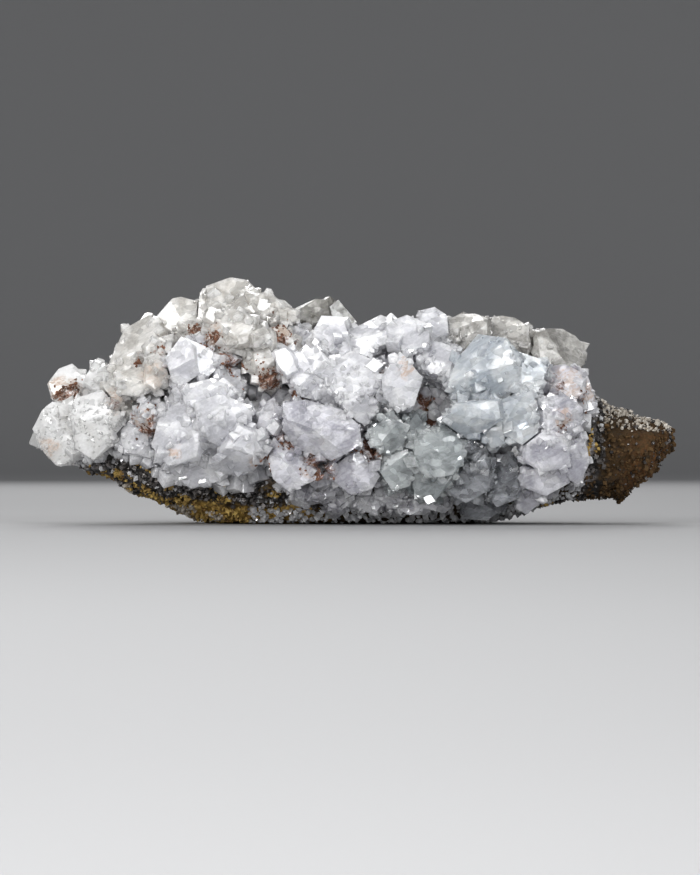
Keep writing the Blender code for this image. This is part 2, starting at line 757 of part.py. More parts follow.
def hull(points):
    """Return the convex solid around the points, with its flat faces whole."""
    bm = bmesh.new()
    verts = [bm.verts.new(point) for point in points]
    result = bmesh.ops.convex_hull(bm, input=verts)
    inside = [item for item in result["geom_interior"] if isinstance(item, bmesh.types.BMVert)]
    bmesh.ops.delete(bm, geom=inside, context="VERTS")
    bmesh.ops.dissolve_limit(bm, angle_limit=0.01, verts=bm.verts, edges=bm.edges)
    bmesh.ops.recalc_face_normals(bm, faces=bm.faces)
    return bm


def facing(lean, turn):
    """Return the direction of a front face that leans up and turns to the right."""
    lean = math.radians(lean)
    turn = math.radians(turn)
    level = math.cos(lean)
    return Vector((math.sin(turn) * level, -math.cos(turn) * level, math.sin(lean)))


def large_crystal(crystal):
    """Cut a large crystal: outline run front to back, bevelled rim, tilted front faces."""
    corners = [Vector((x, 0, z)) for x, z in crystal.outline]
    centre = sum(corners, Vector()) / len(corners)
    reach = max((corner - centre).length for corner in corners)
    front = front_of_shell(centre.x, centre.z) - crystal.rise
    rings = (
        (0.0, crystal.rim),
        (crystal.rim * RIM_SLOPE, 0.0),
        (crystal.depth, reach * BACK_TAPER),
    )
    points = []
    for behind, inset in rings:
        for corner in corners:
            arm = corner - centre
            place = centre + arm * max(1 - inset / arm.length, NARROWEST)
            points.append(Vector((place.x, front + behind, place.z)))
    bm = hull(points)
    head = Vector((centre.x, front, centre.z))
    slope = math.sin(math.radians(max(abs(crystal.lean), abs(crystal.turn))))
    face_place = head + Vector((0, slope * reach * HEAD_SHARE, 0))
    cleave(bm, face_place, facing(crystal.lean, crystal.turn))
    for lean, turn, cut in crystal.facets:
        direction = facing(lean, turn)
        outermost = max(direction.dot(vert.co) for vert in bm.verts)
        cleave(bm, direction * (outermost - cut), direction)
    return bm


def form_faces(polar, upright=0.0):
    """Return the face normals of one calcite form; a rhombohedron has six, a prism six."""
    tilt = math.radians(polar)
    normals = []
    for index in range(3):
        turn = math.radians(120 * index + upright)
        across = Vector((math.cos(turn), math.sin(turn), 0)) * math.sin(tilt)
        normal = across + Vector((0, 0, math.cos(tilt)))
        normals += [normal, -normal]
    return normals


def small_crystal(place, outward, size, rng):
    """Cut a small calcite crystal of a seeded habit, its long axis near outward."""
    faces = []
    for polar, upright, share in HABITS[rng.choice(HABIT_DRAW)]:
        faces += [(normal, share) for normal in form_faces(polar, upright)]
    sway = Vector((rng.uniform(-1, 1), rng.uniform(-1, 1), rng.uniform(-1, 1))) * SWAY
    turn = (outward + sway).normalized().to_track_quat("Z", "X").to_matrix()
    turn = turn @ Matrix.Rotation(rng.uniform(0, math.tau), 3, "Z")
    bm = bmesh.new()
    bmesh.ops.create_cube(bm, size=4 * size, matrix=Matrix.Translation(place))
    for normal, share in faces:
        direction = turn @ normal
        cleave(bm, place + direction * size * share * rng.uniform(*FACE_SPREAD), direction)
    return bm


def face_planes(bm):
    """Return the outward normal and offset of each face of a convex solid."""
    bm.normal_update()
    return [(face.normal.copy(), face.normal.dot(face.verts[0].co)) for face in bm.faces]


def holds(bm, point, margin=0.0):
    """Tell whether a convex solid holds a point, at least margin inside its faces."""
    return all(normal.dot(point) < offset - margin for normal, offset in face_planes(bm))


def touches(bm, others):
    """Tell whether a convex solid grows into any of the others."""
    for other in others:
        if any(holds(other, vert.co, INTERGROWTH) for vert in bm.verts):
            return True
        if any(holds(bm, vert.co, INTERGROWTH) for vert in other.verts):
            return True
    return False


def keep_clear(bm, neighbour):
    """Cut a crystal back to a contact face GAP clear of a crystal of another cluster."""
    points = [vert.co.copy() for vert in bm.verts]
    others = [vert.co.copy() for vert in neighbour.verts]
    for axis in range(3):
        if min(p[axis] for p in points) > max(p[axis] for p in others) + GAP:
            return
        if max(p[axis] for p in points) < min(p[axis] for p in others) - GAP:
            return
    for normal, offset in face_planes(bm):
        if min(normal.dot(p) for p in others) >= offset + GAP:
            return
    cuts = []
    for normal, offset in face_planes(neighbour):
        distances = [normal.dot(p) - offset for p in points]
        if min(distances) >= GAP:
            return
        cuts.append((sum(distances) / len(distances), normal, offset))
    _, normal, offset = max(cuts, key=lambda cut: cut[0])
    cleave(bm, normal * (offset + GAP), -normal)


def is_worth_keeping(bm, size):
    """Tell whether enough of a cut crystal is left to stand as a crystal."""
    return len(bm.faces) > 3 and abs(bm.calc_volume()) > SMALLEST_SHARE * size ** 3


def trim(bm, own_cluster, grown, size):
    """Cut a crystal clear of every other cluster and of the ground; tell whether it stays."""
    for name, crystals in grown.items():
        if name == own_cluster:
            continue
        for neighbour in crystals:
            keep_clear(bm, neighbour)
            if not is_worth_keeping(bm, size):
                return False
    if min(vert.co.z for vert in bm.verts) < FOOT_CLEARANCE:
        cleave(bm, Vector((0, 0, FOOT_CLEARANCE)), Vector((0, 0, -1)))
    return is_worth_keeping(bm, size)


def grow_large_crystals():
    """Cut the large crystals of every cluster, each clear of the clusters before it."""
    grown = {name: [] for name in CLUSTERS}
    for name, cluster in CLUSTERS.items():
        for crystal in cluster.crystals:
            bm = large_crystal(crystal)
            if trim(bm, name, grown, LARGE_SIZE):
                grown[name].append(bm)
    return grown


def grow_small_crystals(grown):
    """Cover each cluster's patch of the shell with small crystals at seeded places."""
    rng = random.Random(SEED)
    for name, cluster in CLUSTERS.items():
        if cluster.patch is None:
            continue
        x_from, x_to, angle_from, angle_to = cluster.patch
        places = []
        for _ in range(PLACES_TRIED):
            x = rng.uniform(x_from, x_to)
            angle = rng.uniform(angle_from, angle_to)
            outward = outward_at(SHELL_SECTIONS, x, angle)
            size = rng.uniform(*cluster.sizes)
            place = on_section(SHELL_SECTIONS, x, angle)
            place -= outward * (size + cluster.sunk) * SET_BACK
            if any((place - other).length < cluster.spacing for other in places):
                continue
            if any(holds(bm, place, BURIED) for crystals in grown.values() for bm in crystals):
                continue
            bm = small_crystal(place, outward, size, rng)
            if trim(bm, name, grown, size) and (not grown[name] or touches(bm, grown[name])):
                grown[name].append(bm)
                places.append(place)


def evaluated_mesh(obj):
    """Return an object's mesh with its modifiers applied."""
    depsgraph = bpy.context.evaluated_depsgraph_get()
    return bpy.data.meshes.new_from_object(obj.evaluated_get(depsgraph))


def largest_body(mesh):
    """Keep only a mesh's largest closed body."""
    bm = bmesh.new()
    bm.from_mesh(mesh)
    unseen = set(bm.faces)
    bodies = []
    while unseen:
        body = set()
        edge_of = [unseen.pop()]
        while edge_of:
            face = edge_of.pop()
            body.add(face)
            linked = {other for edge in face.edges for other in edge.link_faces}
            edge_of += linked & unseen
            unseen -= linked
        bodies.append(body)
    bodies.sort(key=lambda body: sum(face.calc_area() for face in body))
    spare = [face for body in bodies[:-1] for face in body]
    bmesh.ops.delete(bm, geom=spare, context="FACES")
    bmesh.ops.triangulate(bm, faces=bm.faces)
    bm.to_mesh(mesh)
    bm.free()


def combine(obj, other, operation):
    """Apply a Boolean to an object. MANIFOLD serves, because EXACT leaves some cuts out."""
    boolean = obj.modifiers.new("combine", "BOOLEAN")
    boolean.operation = operation
    boolean.object = other
    boolean.solver = "MANIFOLD"
    mesh = evaluated_mesh(obj)
    obj.modifiers.clear()
    obj.data = mesh


def join_cluster(name, crystals, bed):
    """Join a cluster's crystals in one solid, and cut the rock's bed out of it."""
    obj = new_object(name, crystals[0])
    for bm in crystals[1:]:
        other = new_object("next_crystal", bm)
        combine(obj, other, "UNION")
        bpy.data.objects.remove(other, do_unlink=True)
    combine(obj, bed, "DIFFERENCE")
    largest_body(obj.data)
    obj.data.name = name
    obj.data.materials.clear()
    obj.data.materials.append(make_material(CLUSTERS[name].material))
    return obj


def stand_on_origin(objects):
    """Move every object so that the origin lies under the middle of the whole, on its foot."""
    corners = [vert.co for obj in objects for vert in obj.data.vertices]
    lowest = [min(corner[axis] for corner in corners) for axis in range(3)]
    highest = [max(corner[axis] for corner in corners) for axis in range(3)]
    for obj in objects:
        obj.location = (
            -(lowest[0] + highest[0]) / 2,
            -(lowest[1] + highest[1]) / 2,
            -lowest[2],
        )


def main():
    """Build the rock and its crystal clusters."""
    clear_scene()
    rock = make_rock()
    cutter = rock_bmesh(BED_CLEARANCE)
    bed = new_object("bed_cutter", cutter)
    cutter.free()
    grown = grow_large_crystals()
    grow_small_crystals(grown)
    clusters = [join_cluster(name, crystals, bed) for name, crystals in grown.items() if crystals]
    bpy.data.objects.remove(bed, do_unlink=True)
    stand_on_origin([rock] + clusters)


main()
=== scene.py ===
"""The looks of a calcite crystal cluster on its brown rock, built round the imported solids.

X runs along the specimen to the right, -Y is its front and Z is up. Sizes are in metres, and
in millimetres where a name ends in _mm.
"""

import logging
import math
from dataclasses import dataclass, field, replace
from enum import Enum
from random import Random

import bmesh
import bpy
import numpy as np
from bpy.types import Material, Mesh, Node, NodeSocket, NodeTree, Object
from mathutils import Matrix, Vector, noise
from mathutils.bvhtree import BVHTree


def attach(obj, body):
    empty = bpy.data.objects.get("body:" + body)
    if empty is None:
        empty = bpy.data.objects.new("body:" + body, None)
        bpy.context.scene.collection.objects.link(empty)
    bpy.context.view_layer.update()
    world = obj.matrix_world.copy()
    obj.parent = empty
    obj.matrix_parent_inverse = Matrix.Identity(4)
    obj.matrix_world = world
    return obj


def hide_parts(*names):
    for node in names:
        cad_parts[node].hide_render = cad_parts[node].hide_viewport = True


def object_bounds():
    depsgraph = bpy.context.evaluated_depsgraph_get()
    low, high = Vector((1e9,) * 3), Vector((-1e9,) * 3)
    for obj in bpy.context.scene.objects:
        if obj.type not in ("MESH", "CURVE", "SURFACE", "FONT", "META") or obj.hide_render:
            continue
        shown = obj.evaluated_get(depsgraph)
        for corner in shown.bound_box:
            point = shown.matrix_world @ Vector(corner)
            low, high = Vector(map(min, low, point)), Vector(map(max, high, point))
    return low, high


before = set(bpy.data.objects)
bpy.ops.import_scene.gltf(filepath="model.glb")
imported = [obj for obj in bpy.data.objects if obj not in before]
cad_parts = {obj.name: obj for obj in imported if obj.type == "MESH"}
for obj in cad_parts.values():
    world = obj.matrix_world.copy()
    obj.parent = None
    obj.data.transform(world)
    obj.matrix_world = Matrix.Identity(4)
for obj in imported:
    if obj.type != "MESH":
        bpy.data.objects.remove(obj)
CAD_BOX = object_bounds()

LOG = logging.getLogger("calcite")
MM = 0.001
BODY = "root"
ROCK = "matrix_rock"
Colour = tuple[float, float, float]

# How far small crystals may reach past the solids' box.
OUTREACH = 0.4 * MM

# Rays start this far off the surface, and a place is shut in with less air than this before it:
# on the whole specimen, and in the clefts that rust settles in.
LIFT = 0.05 * MM
OPEN_AIR = 1.2 * MM
NARROW_AIR = 0.5 * MM

# Calcite has two refractive indices, 1.49 and 1.66, and this is about their mean.
CRYSTAL_IOR = 1.58


class Slot(Enum):
    """The record's material slots."""

    MILKY = "milky_calcite"
    CREAM = "cream_calcite"
    LILAC = "lilac_calcite"
    CLEAR = "clear_calcite"
    SMOKY = "smoky_calcite"
    ROCK = "limonite_rock"


NODE_SLOTS = {
    "large_right_crystals": Slot.CLEAR,
    "large_lilac_crystals": Slot.LILAC,
    "left_boss_crystals": Slot.MILKY,
    "upper_left_crystals": Slot.CREAM,
    "left_end_crystals": Slot.CREAM,
    "centre_crystals": Slot.MILKY,
    "peak_crystals": Slot.CREAM,
    "white_block_crystals": Slot.MILKY,
    "top_right_crystals": Slot.CREAM,
    "right_flank_crystals": Slot.LILAC,
    "lower_centre_crystals": Slot.CLEAR,
    "smoky_base_crystals": Slot.SMOKY,
    "ridge_crystals": Slot.CREAM,
    "back_left_crystals": Slot.MILKY,
    "back_right_crystals": Slot.CREAM,
    "base_crust_crystals": Slot.LILAC,
}


class Value:
    """A number in a node tree, which adds Math nodes when it is used in an expression."""

    def __init__(self, tree: NodeTree, source: object) -> None:
        """Wraps a socket.

        Args:
            tree: The node tree that the socket is in.
            source: The output socket.
        """
        self.tree = tree
        self.source = source

    def math(self, operation: str, *others: object, clamp: bool = False) -> "Value":
        """Adds one Math node whose first input is this value.

        Args:
            operation: The Math node's operation.
            *others: Its other inputs, as numbers or values.
            clamp: Whether the result is kept between 0 and 1.

        Returns:
            The node's result.
        """
        node = self.tree.nodes.new("ShaderNodeMath")
        node.operation = operation
        node.use_clamp = clamp
        for socket, value in zip(node.inputs, (self, *others)):
            join(self.tree, socket, value)
        return Value(self.tree, node.outputs[0])

    def __add__(self, other: object) -> "Value":
        """This value plus another."""
        return self.math("ADD", other)

    __radd__ = __add__

    def __sub__(self, other: object) -> "Value":
        """This value less another."""
        return self.math("SUBTRACT", other)

    def __rsub__(self, other: object) -> "Value":
        """A number less this value."""
        return (self * -1.0) + other

    def __mul__(self, other: object) -> "Value":
        """This value times another."""
        return self.math("MULTIPLY", other)

    __rmul__ = __mul__

    def larger(self, other: object) -> "Value":
        """The larger of this value and another."""
        return self.math("MAXIMUM", other)

    def smaller(self, other: object) -> "Value":
        """The smaller of this value and another."""
        return self.math("MINIMUM", other)

    def clamped(self) -> "Value":
        """This value kept between 0 and 1."""
        return self.math("ADD", 0.0, clamp=True)

    def between(self, low: float, high: float) -> "Value":
        """A smooth step from 0 at low to 1 at high, where low may be the larger.

        Args:
            low: Where the step starts.
            high: Where the step ends.

        Returns:
            The step, from 0 to 1.
        """
        node = self.tree.nodes.new("ShaderNodeMapRange")
        node.interpolation_type = "SMOOTHSTEP"
        for name, value in (("Value", self), ("From Min", low), ("From Max", high)):
            join(self.tree, node.inputs[name], value)
        return Value(self.tree, node.outputs[0])


def join(tree: NodeTree, socket: NodeSocket, value: object) -> None:
    """Links a socket to a value or another socket, or sets the number or colour on it.

    Args:
        tree: The node tree.
        socket: The input socket.
        value: A Value, an output socket, a number or a tuple.
    """
    if isinstance(value, Value):
        value = value.source
    if isinstance(value, NodeSocket):
        tree.links.new(value, socket)
    elif isinstance(value, tuple) and socket.type == "RGBA":
        socket.default_value = (*value, 1.0)
    else:
        socket.default_value = value


class Painter:
    """Builds the nodes of one material."""

    def __init__(self, name: str) -> None:
        """Starts an empty material.

        Args:
            name: The material's name.
        """
        self.material = bpy.data.materials.new(name)
        self.material.use_nodes = True
        self.tree = self.material.node_tree
        self.tree.nodes.clear()
        coordinates = self.tree.nodes.new("ShaderNodeTexCoord")
        self.place = coordinates.outputs["Object"]

    def node(self, kind: str, settings: dict[str, object], inputs: dict[object, object]) -> Node:
        """Adds a node, sets it up, then fills its sockets.

        Args:
            kind: The node's type.
            settings: Its properties.
            inputs: Values or links by socket name or number.

        Returns:
            The node.
        """
        made = self.tree.nodes.new(kind)
        for name, value in settings.items():
            setattr(made, name, value)
        for name, value in inputs.items():
            join(self.tree, made.inputs[name], value)
        return made

    def value(self, socket: NodeSocket) -> Value:
        """Wraps a socket of this tree."""
        return Value(self.tree, socket)

    def own(self, name: str) -> Value:
        """Reads a number that the mesh holds for each face."""
        return self.value(self.node("ShaderNodeAttribute", {"attribute_name": name}, {}).outputs["Fac"])

    def vector(self, operation: str, *operands: object) -> NodeSocket:
        """Adds a Vector Math node.

        Args:
            operation: Its operation.
            *operands: Its inputs.

        Returns:
            The resulting vector.
        """
        inputs = dict(enumerate(operands))
        return self.node("ShaderNodeVectorMath", {"operation": operation}, inputs).outputs[0]

    def scaled(self, source: NodeSocket, factor: object) -> NodeSocket:
        """Scales a colour's distance from grey, taken as a vector.

        Args:
            source: The colour.
            factor: The scale, as a number or a value.

        Returns:
            The scaled vector.
        """
        inputs = {0: self.vector("SUBTRACT", source, (0.5, 0.5, 0.5)), "Scale": factor}
        return self.node("ShaderNodeVectorMath", {"operation": "SCALE"}, inputs).outputs[0]

    def turned(self, source: object, rotation: tuple[float, ...], scale: tuple[float, ...]) -> NodeSocket:
        """Turns and stretches a pattern.

        Args:
            source: The place that it starts from.
            rotation: The turn, in radians.
            scale: The stretch.

        Returns:
            The turned place.
        """
        inputs = {"Vector": source, "Rotation": rotation, "Scale": scale}
        return self.node("ShaderNodeMapping", {}, inputs).outputs[0]

    def principled(self, inputs: dict[str, object]) -> NodeSocket:
        """Adds a Principled shader with the given sockets filled."""
        return self.node("ShaderNodeBsdfPrincipled", {}, inputs).outputs[0]

    def noise(self, grain: float, detail: float = 3.0, twist: float = 0.0, at: object = None) -> Value:
        """Cloudy noise from about 0.3 to 0.7.

        Args:
            grain: The size of its lumps.
            detail: How many finer layers it has.
            twist: How far it is twisted.
            at: The place that it reads, or none for the object's own.

        Returns:
            The noise.
        """
        vector = self.place if at is None else at
        inputs = {"Vector": vector, "Scale": 1.0 / grain, "Detail": detail, "Distortion": twist}
        return self.value(self.node("ShaderNodeTexNoise", {}, inputs).outputs["Fac"])

    def cells(self, grain: float, at: object = None) -> Node:
        """Voronoi cells.

        Args:
            grain: The size of a cell.
            at: The place that it reads, or none for the object's own.

        Returns:
            The node.
        """
        vector = self.place if at is None else at
        return self.node("ShaderNodeTexVoronoi", {}, {"Vector": vector, "Scale": 1.0 / grain})

    def blend(self, share: object, first: object, second: object) -> NodeSocket:
        """Mixes two colours.

        Args:
            share: How much of the second there is.
            first: The first colour.
            second: The second colour.

        Returns:
            The mixed colour.
        """
        made = self.node("ShaderNodeMix", {"data_type": "RGBA"}, {"Factor": share})
        sockets = [s for s in made.inputs if s.type == "RGBA"]
        join(self.tree, sockets[0], first)
        join(self.tree, sockets[1], second)
        return next(s for s in made.outputs if s.type == "RGBA")

    def shift(self, reach: float, grain: float) -> NodeSocket:
        """The object's place pushed about by noise, so that edges of zones wander.

        Args:
            reach: How far the place is pushed at most.
            grain: The size of the noise.

        Returns:
            The pushed place.
        """
        made = self.node("ShaderNodeTexNoise", {}, {"Vector": self.place, "Scale": 1.0 / grain})
        return self.vector("ADD", self.place, self.scaled(made.outputs["Color"], reach * 4.0))

    def bump(self, height: Value, depth: float, under: object = None) -> NodeSocket:
        """Turns a height into a normal.

        Args:
            height: The height, from 0 to 1.
            depth: How deep 1 is.
            under: The normal that it goes over.

        Returns:
            The normal.
        """
        inputs = {"Height": height, "Distance": depth, "Strength": 1.0}
        if under is not None:
            inputs["Normal"] = under
        return self.node("ShaderNodeBump", {}, inputs).outputs[0]

    def finish(self, shader: NodeSocket, volume: object = None) -> Material:
        """Links the surface to the material's output.

        Args:
            shader: The surface shader.
            volume: The volume shader, or none.

        Returns:
            The material.
        """
        inputs = {"Surface": shader}
        if volume is not None:
            inputs["Volume"] = volume
        self.node("ShaderNodeOutputMaterial", {}, inputs)
        return self.material


@dataclass(frozen=True)
class Stain:
    """A patch where iron has coloured the crystals.

    Attributes:
        place: Its middle, in metres.
        reach: Its radius, in metres.
        strength: How strong it is, from 0 to 1.
    """

    place: tuple[float, float, float]
    reach: float
    strength: float


def darker(colour: Colour, share: float) -> Colour:
    """A share of a colour's brightness."""
    return tuple(c * share for c in colour)


def stained(painter: Painter, stains: list[Stain]) -> Value:
    """How strongly iron colours each place.

    Args:
        painter: The material's painter.
        stains: The patches.

    Returns:
        The strength, from 0 to 1.
    """
    place = painter.shift(1.2 * MM, 4.0 * MM)
    total = None
    for stain in stains:
        inputs = {0: place, 1: stain.place}
        apart = painter.node("ShaderNodeVectorMath", {"operation": "DISTANCE"}, inputs)
        part = painter.value(apart.outputs["Value"]).between(stain.reach, stain.reach * STAIN_CORE)
        part = part * stain.strength
        total = part if total is None else total.larger(part)
    return total


@dataclass(frozen=True)
class CalciteFinish:
    """Calcite that is part clear and part clouded.

    Attributes:
        name: The material's name.
        milk: The colour of the clouded parts.
        shade: The second colour of the clouded parts.
        glass: The tint of the clear parts.
        cloud_low: The least share that is clouded.
        cloud_high: The largest share that is clouded.
        stain: The colour that iron gives it.
        rough: The roughness of its faces.
        breaks: How much of it is full of inner breaks, from 0 to 1.
        mottle: How mottled it is by fine wisps.
        shadows: How dark its shaded inner planes are.
        polish: How rough its clouded parts are at their smoothest.
        absorption: How strongly its clear parts absorb light, for each metre.
        stain_depth: How dark the darkest rust is beside the palest.
        staining: How strongly iron colours it.
        cloud: The size of its clouds.
        wisp: The size of its wisps.
        streak: The size of its streaks.
        flake: The size of the inner planes.
        wave: The size of the waves on its faces.
        relief: How deep the unevenness of its faces is.
        glow: How far light spreads inside the clouded parts.
        glint: How metallic its mirror-like inner planes look.
    """

    name: str
    milk: Colour
    shade: Colour
    glass: Colour
    cloud_low: float
    cloud_high: float
    stain: Colour = (0.78, 0.56, 0.42)
    rough: float = 0.04
    breaks: float = 0.6
    mottle: float = 0.18
    shadows: float = 0.25
    polish: float = 0.09
    absorption: float = 0.0
    stain_depth: float = 0.7
    staining: float = 0.75
    cloud: float = 4.5 * MM
    wisp: float = 0.9 * MM
    streak: float = 1.1 * MM
    flake: float = 1.6 * MM
    wave: float = 2.2 * MM
    relief: float = 0.07 * MM
    glow: float = 2.4 * MM
    glint: float = 0.4

    def fine(self) -> "CalciteFinish":
        """The finish of this calcite's small crystals, which differ more and take more rust."""
        return replace(
            self, name=f"{self.name}_small", shade=darker(self.shade, 0.85), stain=(0.36, 0.13, 0.05),
            breaks=0.0, mottle=0.3, absorption=0.0, stain_depth=0.35, staining=0.95,
        )

    def material(self, stains: list[Stain]) -> Material:
        """Builds the material.

        Args:
            stains: Where iron colours it.

        Returns:
            The material.
        """
        paint = Painter(self.name)
        own = paint.own("growth")
        iron = stained(paint, stains) * paint.own("shelter").between(0.03, 0.28)
        layers = paint.turned(paint.shift(0.3 * MM, 2.0 * MM), (0.5, 0.7, 0.3), (1.0, 0.5, 1.6))
        streaky = paint.turned(layers, (0.2, 0.9, 0.4), (0.18, 1.0, 2.2))
        flakes = paint.cells(self.flake, layers).outputs["Color"]
        split = paint.node("ShaderNodeSeparateColor", {}, {0: flakes})
        first, second, third = (paint.value(split.outputs[i]) for i in range(3))
        clouds = paint.noise(self.cloud, 4.0, 0.5)
        wisps = paint.noise(self.wisp, 3.0, 1.2)
        streaks = paint.noise(self.streak, 2.0, 0.0, streaky)
        whole = 0.62 - self.breaks * 0.3
        broken = (clouds + (first - 0.5) * 0.1).between(whole, whole + 0.08)
        # How much of each place is clouded, from 0 for clear to 1.
        share = clouds.between(0.38, 0.62) * 0.6 + wisps.between(0.4, 0.66) * self.mottle + own * 0.2
        share = share + (second - 0.5) * broken * 0.7 + (streaks - 0.5) * self.breaks
        share = share.clamped() * (self.cloud_high - self.cloud_low) + self.cloud_low
        share = share.larger(iron.between(0.1, 0.6) * 0.85)
        # The colour of the clouded parts, then the shaded inner planes and the rust over it.
        tone = (wisps.between(0.32, 0.62) - 0.5) * self.mottle
        tone = tone + clouds.between(0.35, 0.6) * 0.5 + own * 0.5
        colour = paint.blend(tone.clamped(), self.shade, self.milk)
        inner = streaks.between(0.5, 0.62) * 0.35 + third.between(0.6, 0.75) * 0.65
        colour = paint.blend(inner * broken * self.shadows, colour, darker(self.shade, 0.5))
        rust = paint.blend(wisps.between(0.4, 0.62), self.stain, darker(self.stain, self.stain_depth))
        patchy = iron * (wisps.between(0.4, 0.58) * 0.6 + streaks.between(0.4, 0.6) * 0.4 + 0.25)
        colour = paint.blend(patchy.between(0.05, 0.7) * self.staining, colour, rust)
        glint = (second.between(0.84, 0.86) * broken).larger(own.between(0.92, 0.94))
        glint = glint * (1.0 - iron.between(0.1, 0.5))
        # The inner planes are tilted, and the faces are slightly uneven.
        facing = paint.node("ShaderNodeNewGeometry", {}, {}).outputs["Normal"]
        tilted = paint.vector("ADD", facing, paint.scaled(flakes, broken * 0.5))
        height = paint.noise(self.wave, 3.0) * 0.7 + wisps * self.mottle * 0.4
        height = height + streaks * self.breaks * 0.6
        normal = paint.bump(height, self.relief, paint.vector("NORMALIZE", tilted))
        milky = paint.principled(
            {
                "Base Color": colour,
                "Roughness": wisps * self.polish * 3.0 + self.polish,
                "Metallic": glint * self.glint,
                "IOR": CRYSTAL_IOR,
                "Normal": normal,
                "Coat Weight": 1.0,
                "Coat Roughness": 0.03,
                "Coat IOR": 1.6,
                "Subsurface Weight": 0.8,
                "Subsurface Radius": (1.0, 1.0, 1.0),
                "Subsurface Scale": self.glow,
            }
        )
        glass = paint.principled(
            {
                "Base Color": self.glass,
                "Roughness": self.rough,
                "IOR": CRYSTAL_IOR,
                "Normal": normal,
                "Transmission Weight": 1.0,
            }
        )
        mixed = paint.node("ShaderNodeMixShader", {}, {"Fac": share, 1: glass, 2: milky}).outputs[0]
        if not self.absorption:
            return paint.finish(mixed)
        inputs = {"Color": self.glass, "Density": self.absorption}
        return paint.finish(mixed, paint.node("ShaderNodeVolumeAbsorption", {}, inputs).outputs[0])


@dataclass(frozen=True)
class RockFinish:
    """Brown iron-stained rock with ochre, rust and black parts.

    Attributes:
        name: The material's name.
        brown: The colour of most of the rock.
        ochre: The mustard yellow of its left underside.
        rust: The red-brown of its clefts and right end.
        black: The colour of its dark grains.
        base: The grey of the ground that the crystals grow from.
        lump: The size of its patches.
        grit: The size of its grit.
        grain: The size of its grains.
        relief: How rough it is.
    """

    name: str
    brown: Colour = (0.048, 0.027, 0.008)
    ochre: Colour = (0.46, 0.29, 0.07)
    rust: Colour = (0.12, 0.052, 0.015)
    black: Colour = (0.018, 0.016, 0.015)
    base: Colour = (0.5, 0.48, 0.5)
    lump: float = 4.0 * MM
    grit: float = 0.8 * MM
    grain: float = 0.9 * MM
    relief: float = 0.35 * MM

    def material(self, stains: list[Stain]) -> Material:
        """Builds the material.

        Args:
            stains: Where rust lies in the clefts.

        Returns:
            The material.
        """
        paint = Painter(self.name)
        axes = paint.node("ShaderNodeSeparateXYZ", {}, {0: paint.shift(1.5 * MM, 5.0 * MM)})
        x, z = (paint.value(axes.outputs[i]) for i in (0, 2))
        lumps = paint.noise(self.lump, 5.0)
        fine = paint.noise(self.grit, 4.0)
        grains = paint.value(paint.cells(self.grain).outputs["Distance"])
        iron = stained(paint, stains)
        # The zones: the left underside, the broken right end, and the ground of the crystals.
        ochre_zone = x.between(0.0, -10.0 * MM) * z.between(14.0 * MM, 8.0 * MM)
        ochre_zone = ochre_zone * lumps.between(0.36, 0.5)
        rust_zone = x.between(44.0 * MM, 58.0 * MM) * z.between(24.0 * MM, 6.0 * MM)
        rust_zone = (rust_zone * 1.5).smaller(1.0) * fine.between(0.3, 0.58)
        under = z.between(6.0 * MM, 10.0 * MM) * x.between(45.0 * MM, 42.0 * MM)
        # The dark druse: a band beside the right end, and a seam under the crystals of the left.
        band = x.between(42.0 * MM, 43.5 * MM) * x.between(47.0 * MM, 45.5 * MM)
        seam = z.between(3.0 * MM, 5.0 * MM) * z.between(16.0 * MM, 12.0 * MM)
        seam = seam * x.between(2.0 * MM, -4.0 * MM)
        dark = band.larger(seam) * lumps.between(0.36, 0.48)
        colour = paint.blend(fine.between(0.35, 0.68), self.brown, darker(self.brown, 0.4))
        colour = paint.blend(ochre_zone * (fine.between(0.3, 0.5) * 0.8 + 0.2), colour, self.ochre)
        colour = paint.blend(rust_zone, colour, self.rust)
        grey = paint.blend(lumps.between(0.42, 0.56), self.base, darker(self.base, 0.25))
        colour = paint.blend(under, colour, grey)
        colour = paint.blend(iron.between(0.05, 0.4), colour, darker(self.rust, 0.7))
        colour = paint.blend(dark, colour, self.black)
        colour = paint.blend(grains.between(0.62, 0.9) * 0.6, colour, self.black)
        skin = paint.principled(
            {
                "Base Color": colour,
                "Roughness": 0.85 - dark * 0.5 - fine.between(0.6, 0.75) * 0.3,
                "Specular IOR Level": 0.3,
                "Normal": paint.bump(fine + grains * -0.6, self.relief),
            }
        )
        return paint.finish(skin)


@dataclass(frozen=True)
class GrainFinish:
    """Small grains of one mineral, each with its own shade.

    Attributes:
        name: The material's name.
        dark: The darkest colour.
        light: The lightest colour.
        rough: The roughness of a grain.
        metal: How metallic it is.
    """

    name: str
    dark: Colour
    light: Colour
    rough: float
    metal: float = 0.0

    def material(self) -> Material:
        """Builds the material.

        Returns:
            The material.
        """
        paint = Painter(self.name)
        fine = paint.noise(0.5 * MM, 3.0)
        share = paint.own("growth") * 0.75 + fine.between(0.35, 0.7) * 0.25
        skin = paint.principled(
            {
                "Base Color": paint.blend(share, self.dark, self.light),
                "Roughness": fine * 0.4 + self.rough,
                "Metallic": self.metal,
                "Normal": paint.bump(fine, 0.08 * MM),
            }
        )
        return paint.finish(skin)


@dataclass(frozen=True)
class StageFinish:
    """The plain pale floor.

    Attributes:
        name: The material's name.
        colour: Its colour.
    """

    name: str
    colour: Colour = (0.36, 0.36, 0.365)

    def material(self) -> Material:
        """Builds the material."""
        paint = Painter(self.name)
        tone = paint.blend(paint.noise(0.2, 2.0), self.colour, darker(self.colour, 0.96))
        return paint.finish(paint.principled({"Base Color": tone, "Roughness": 0.7}))


class Habit(Enum):
    """The shapes that calcite crystals grow in here."""

    RHOMB = 1
    STEEP = 2
    DOGTOOTH = 3
    NAILHEAD = 4


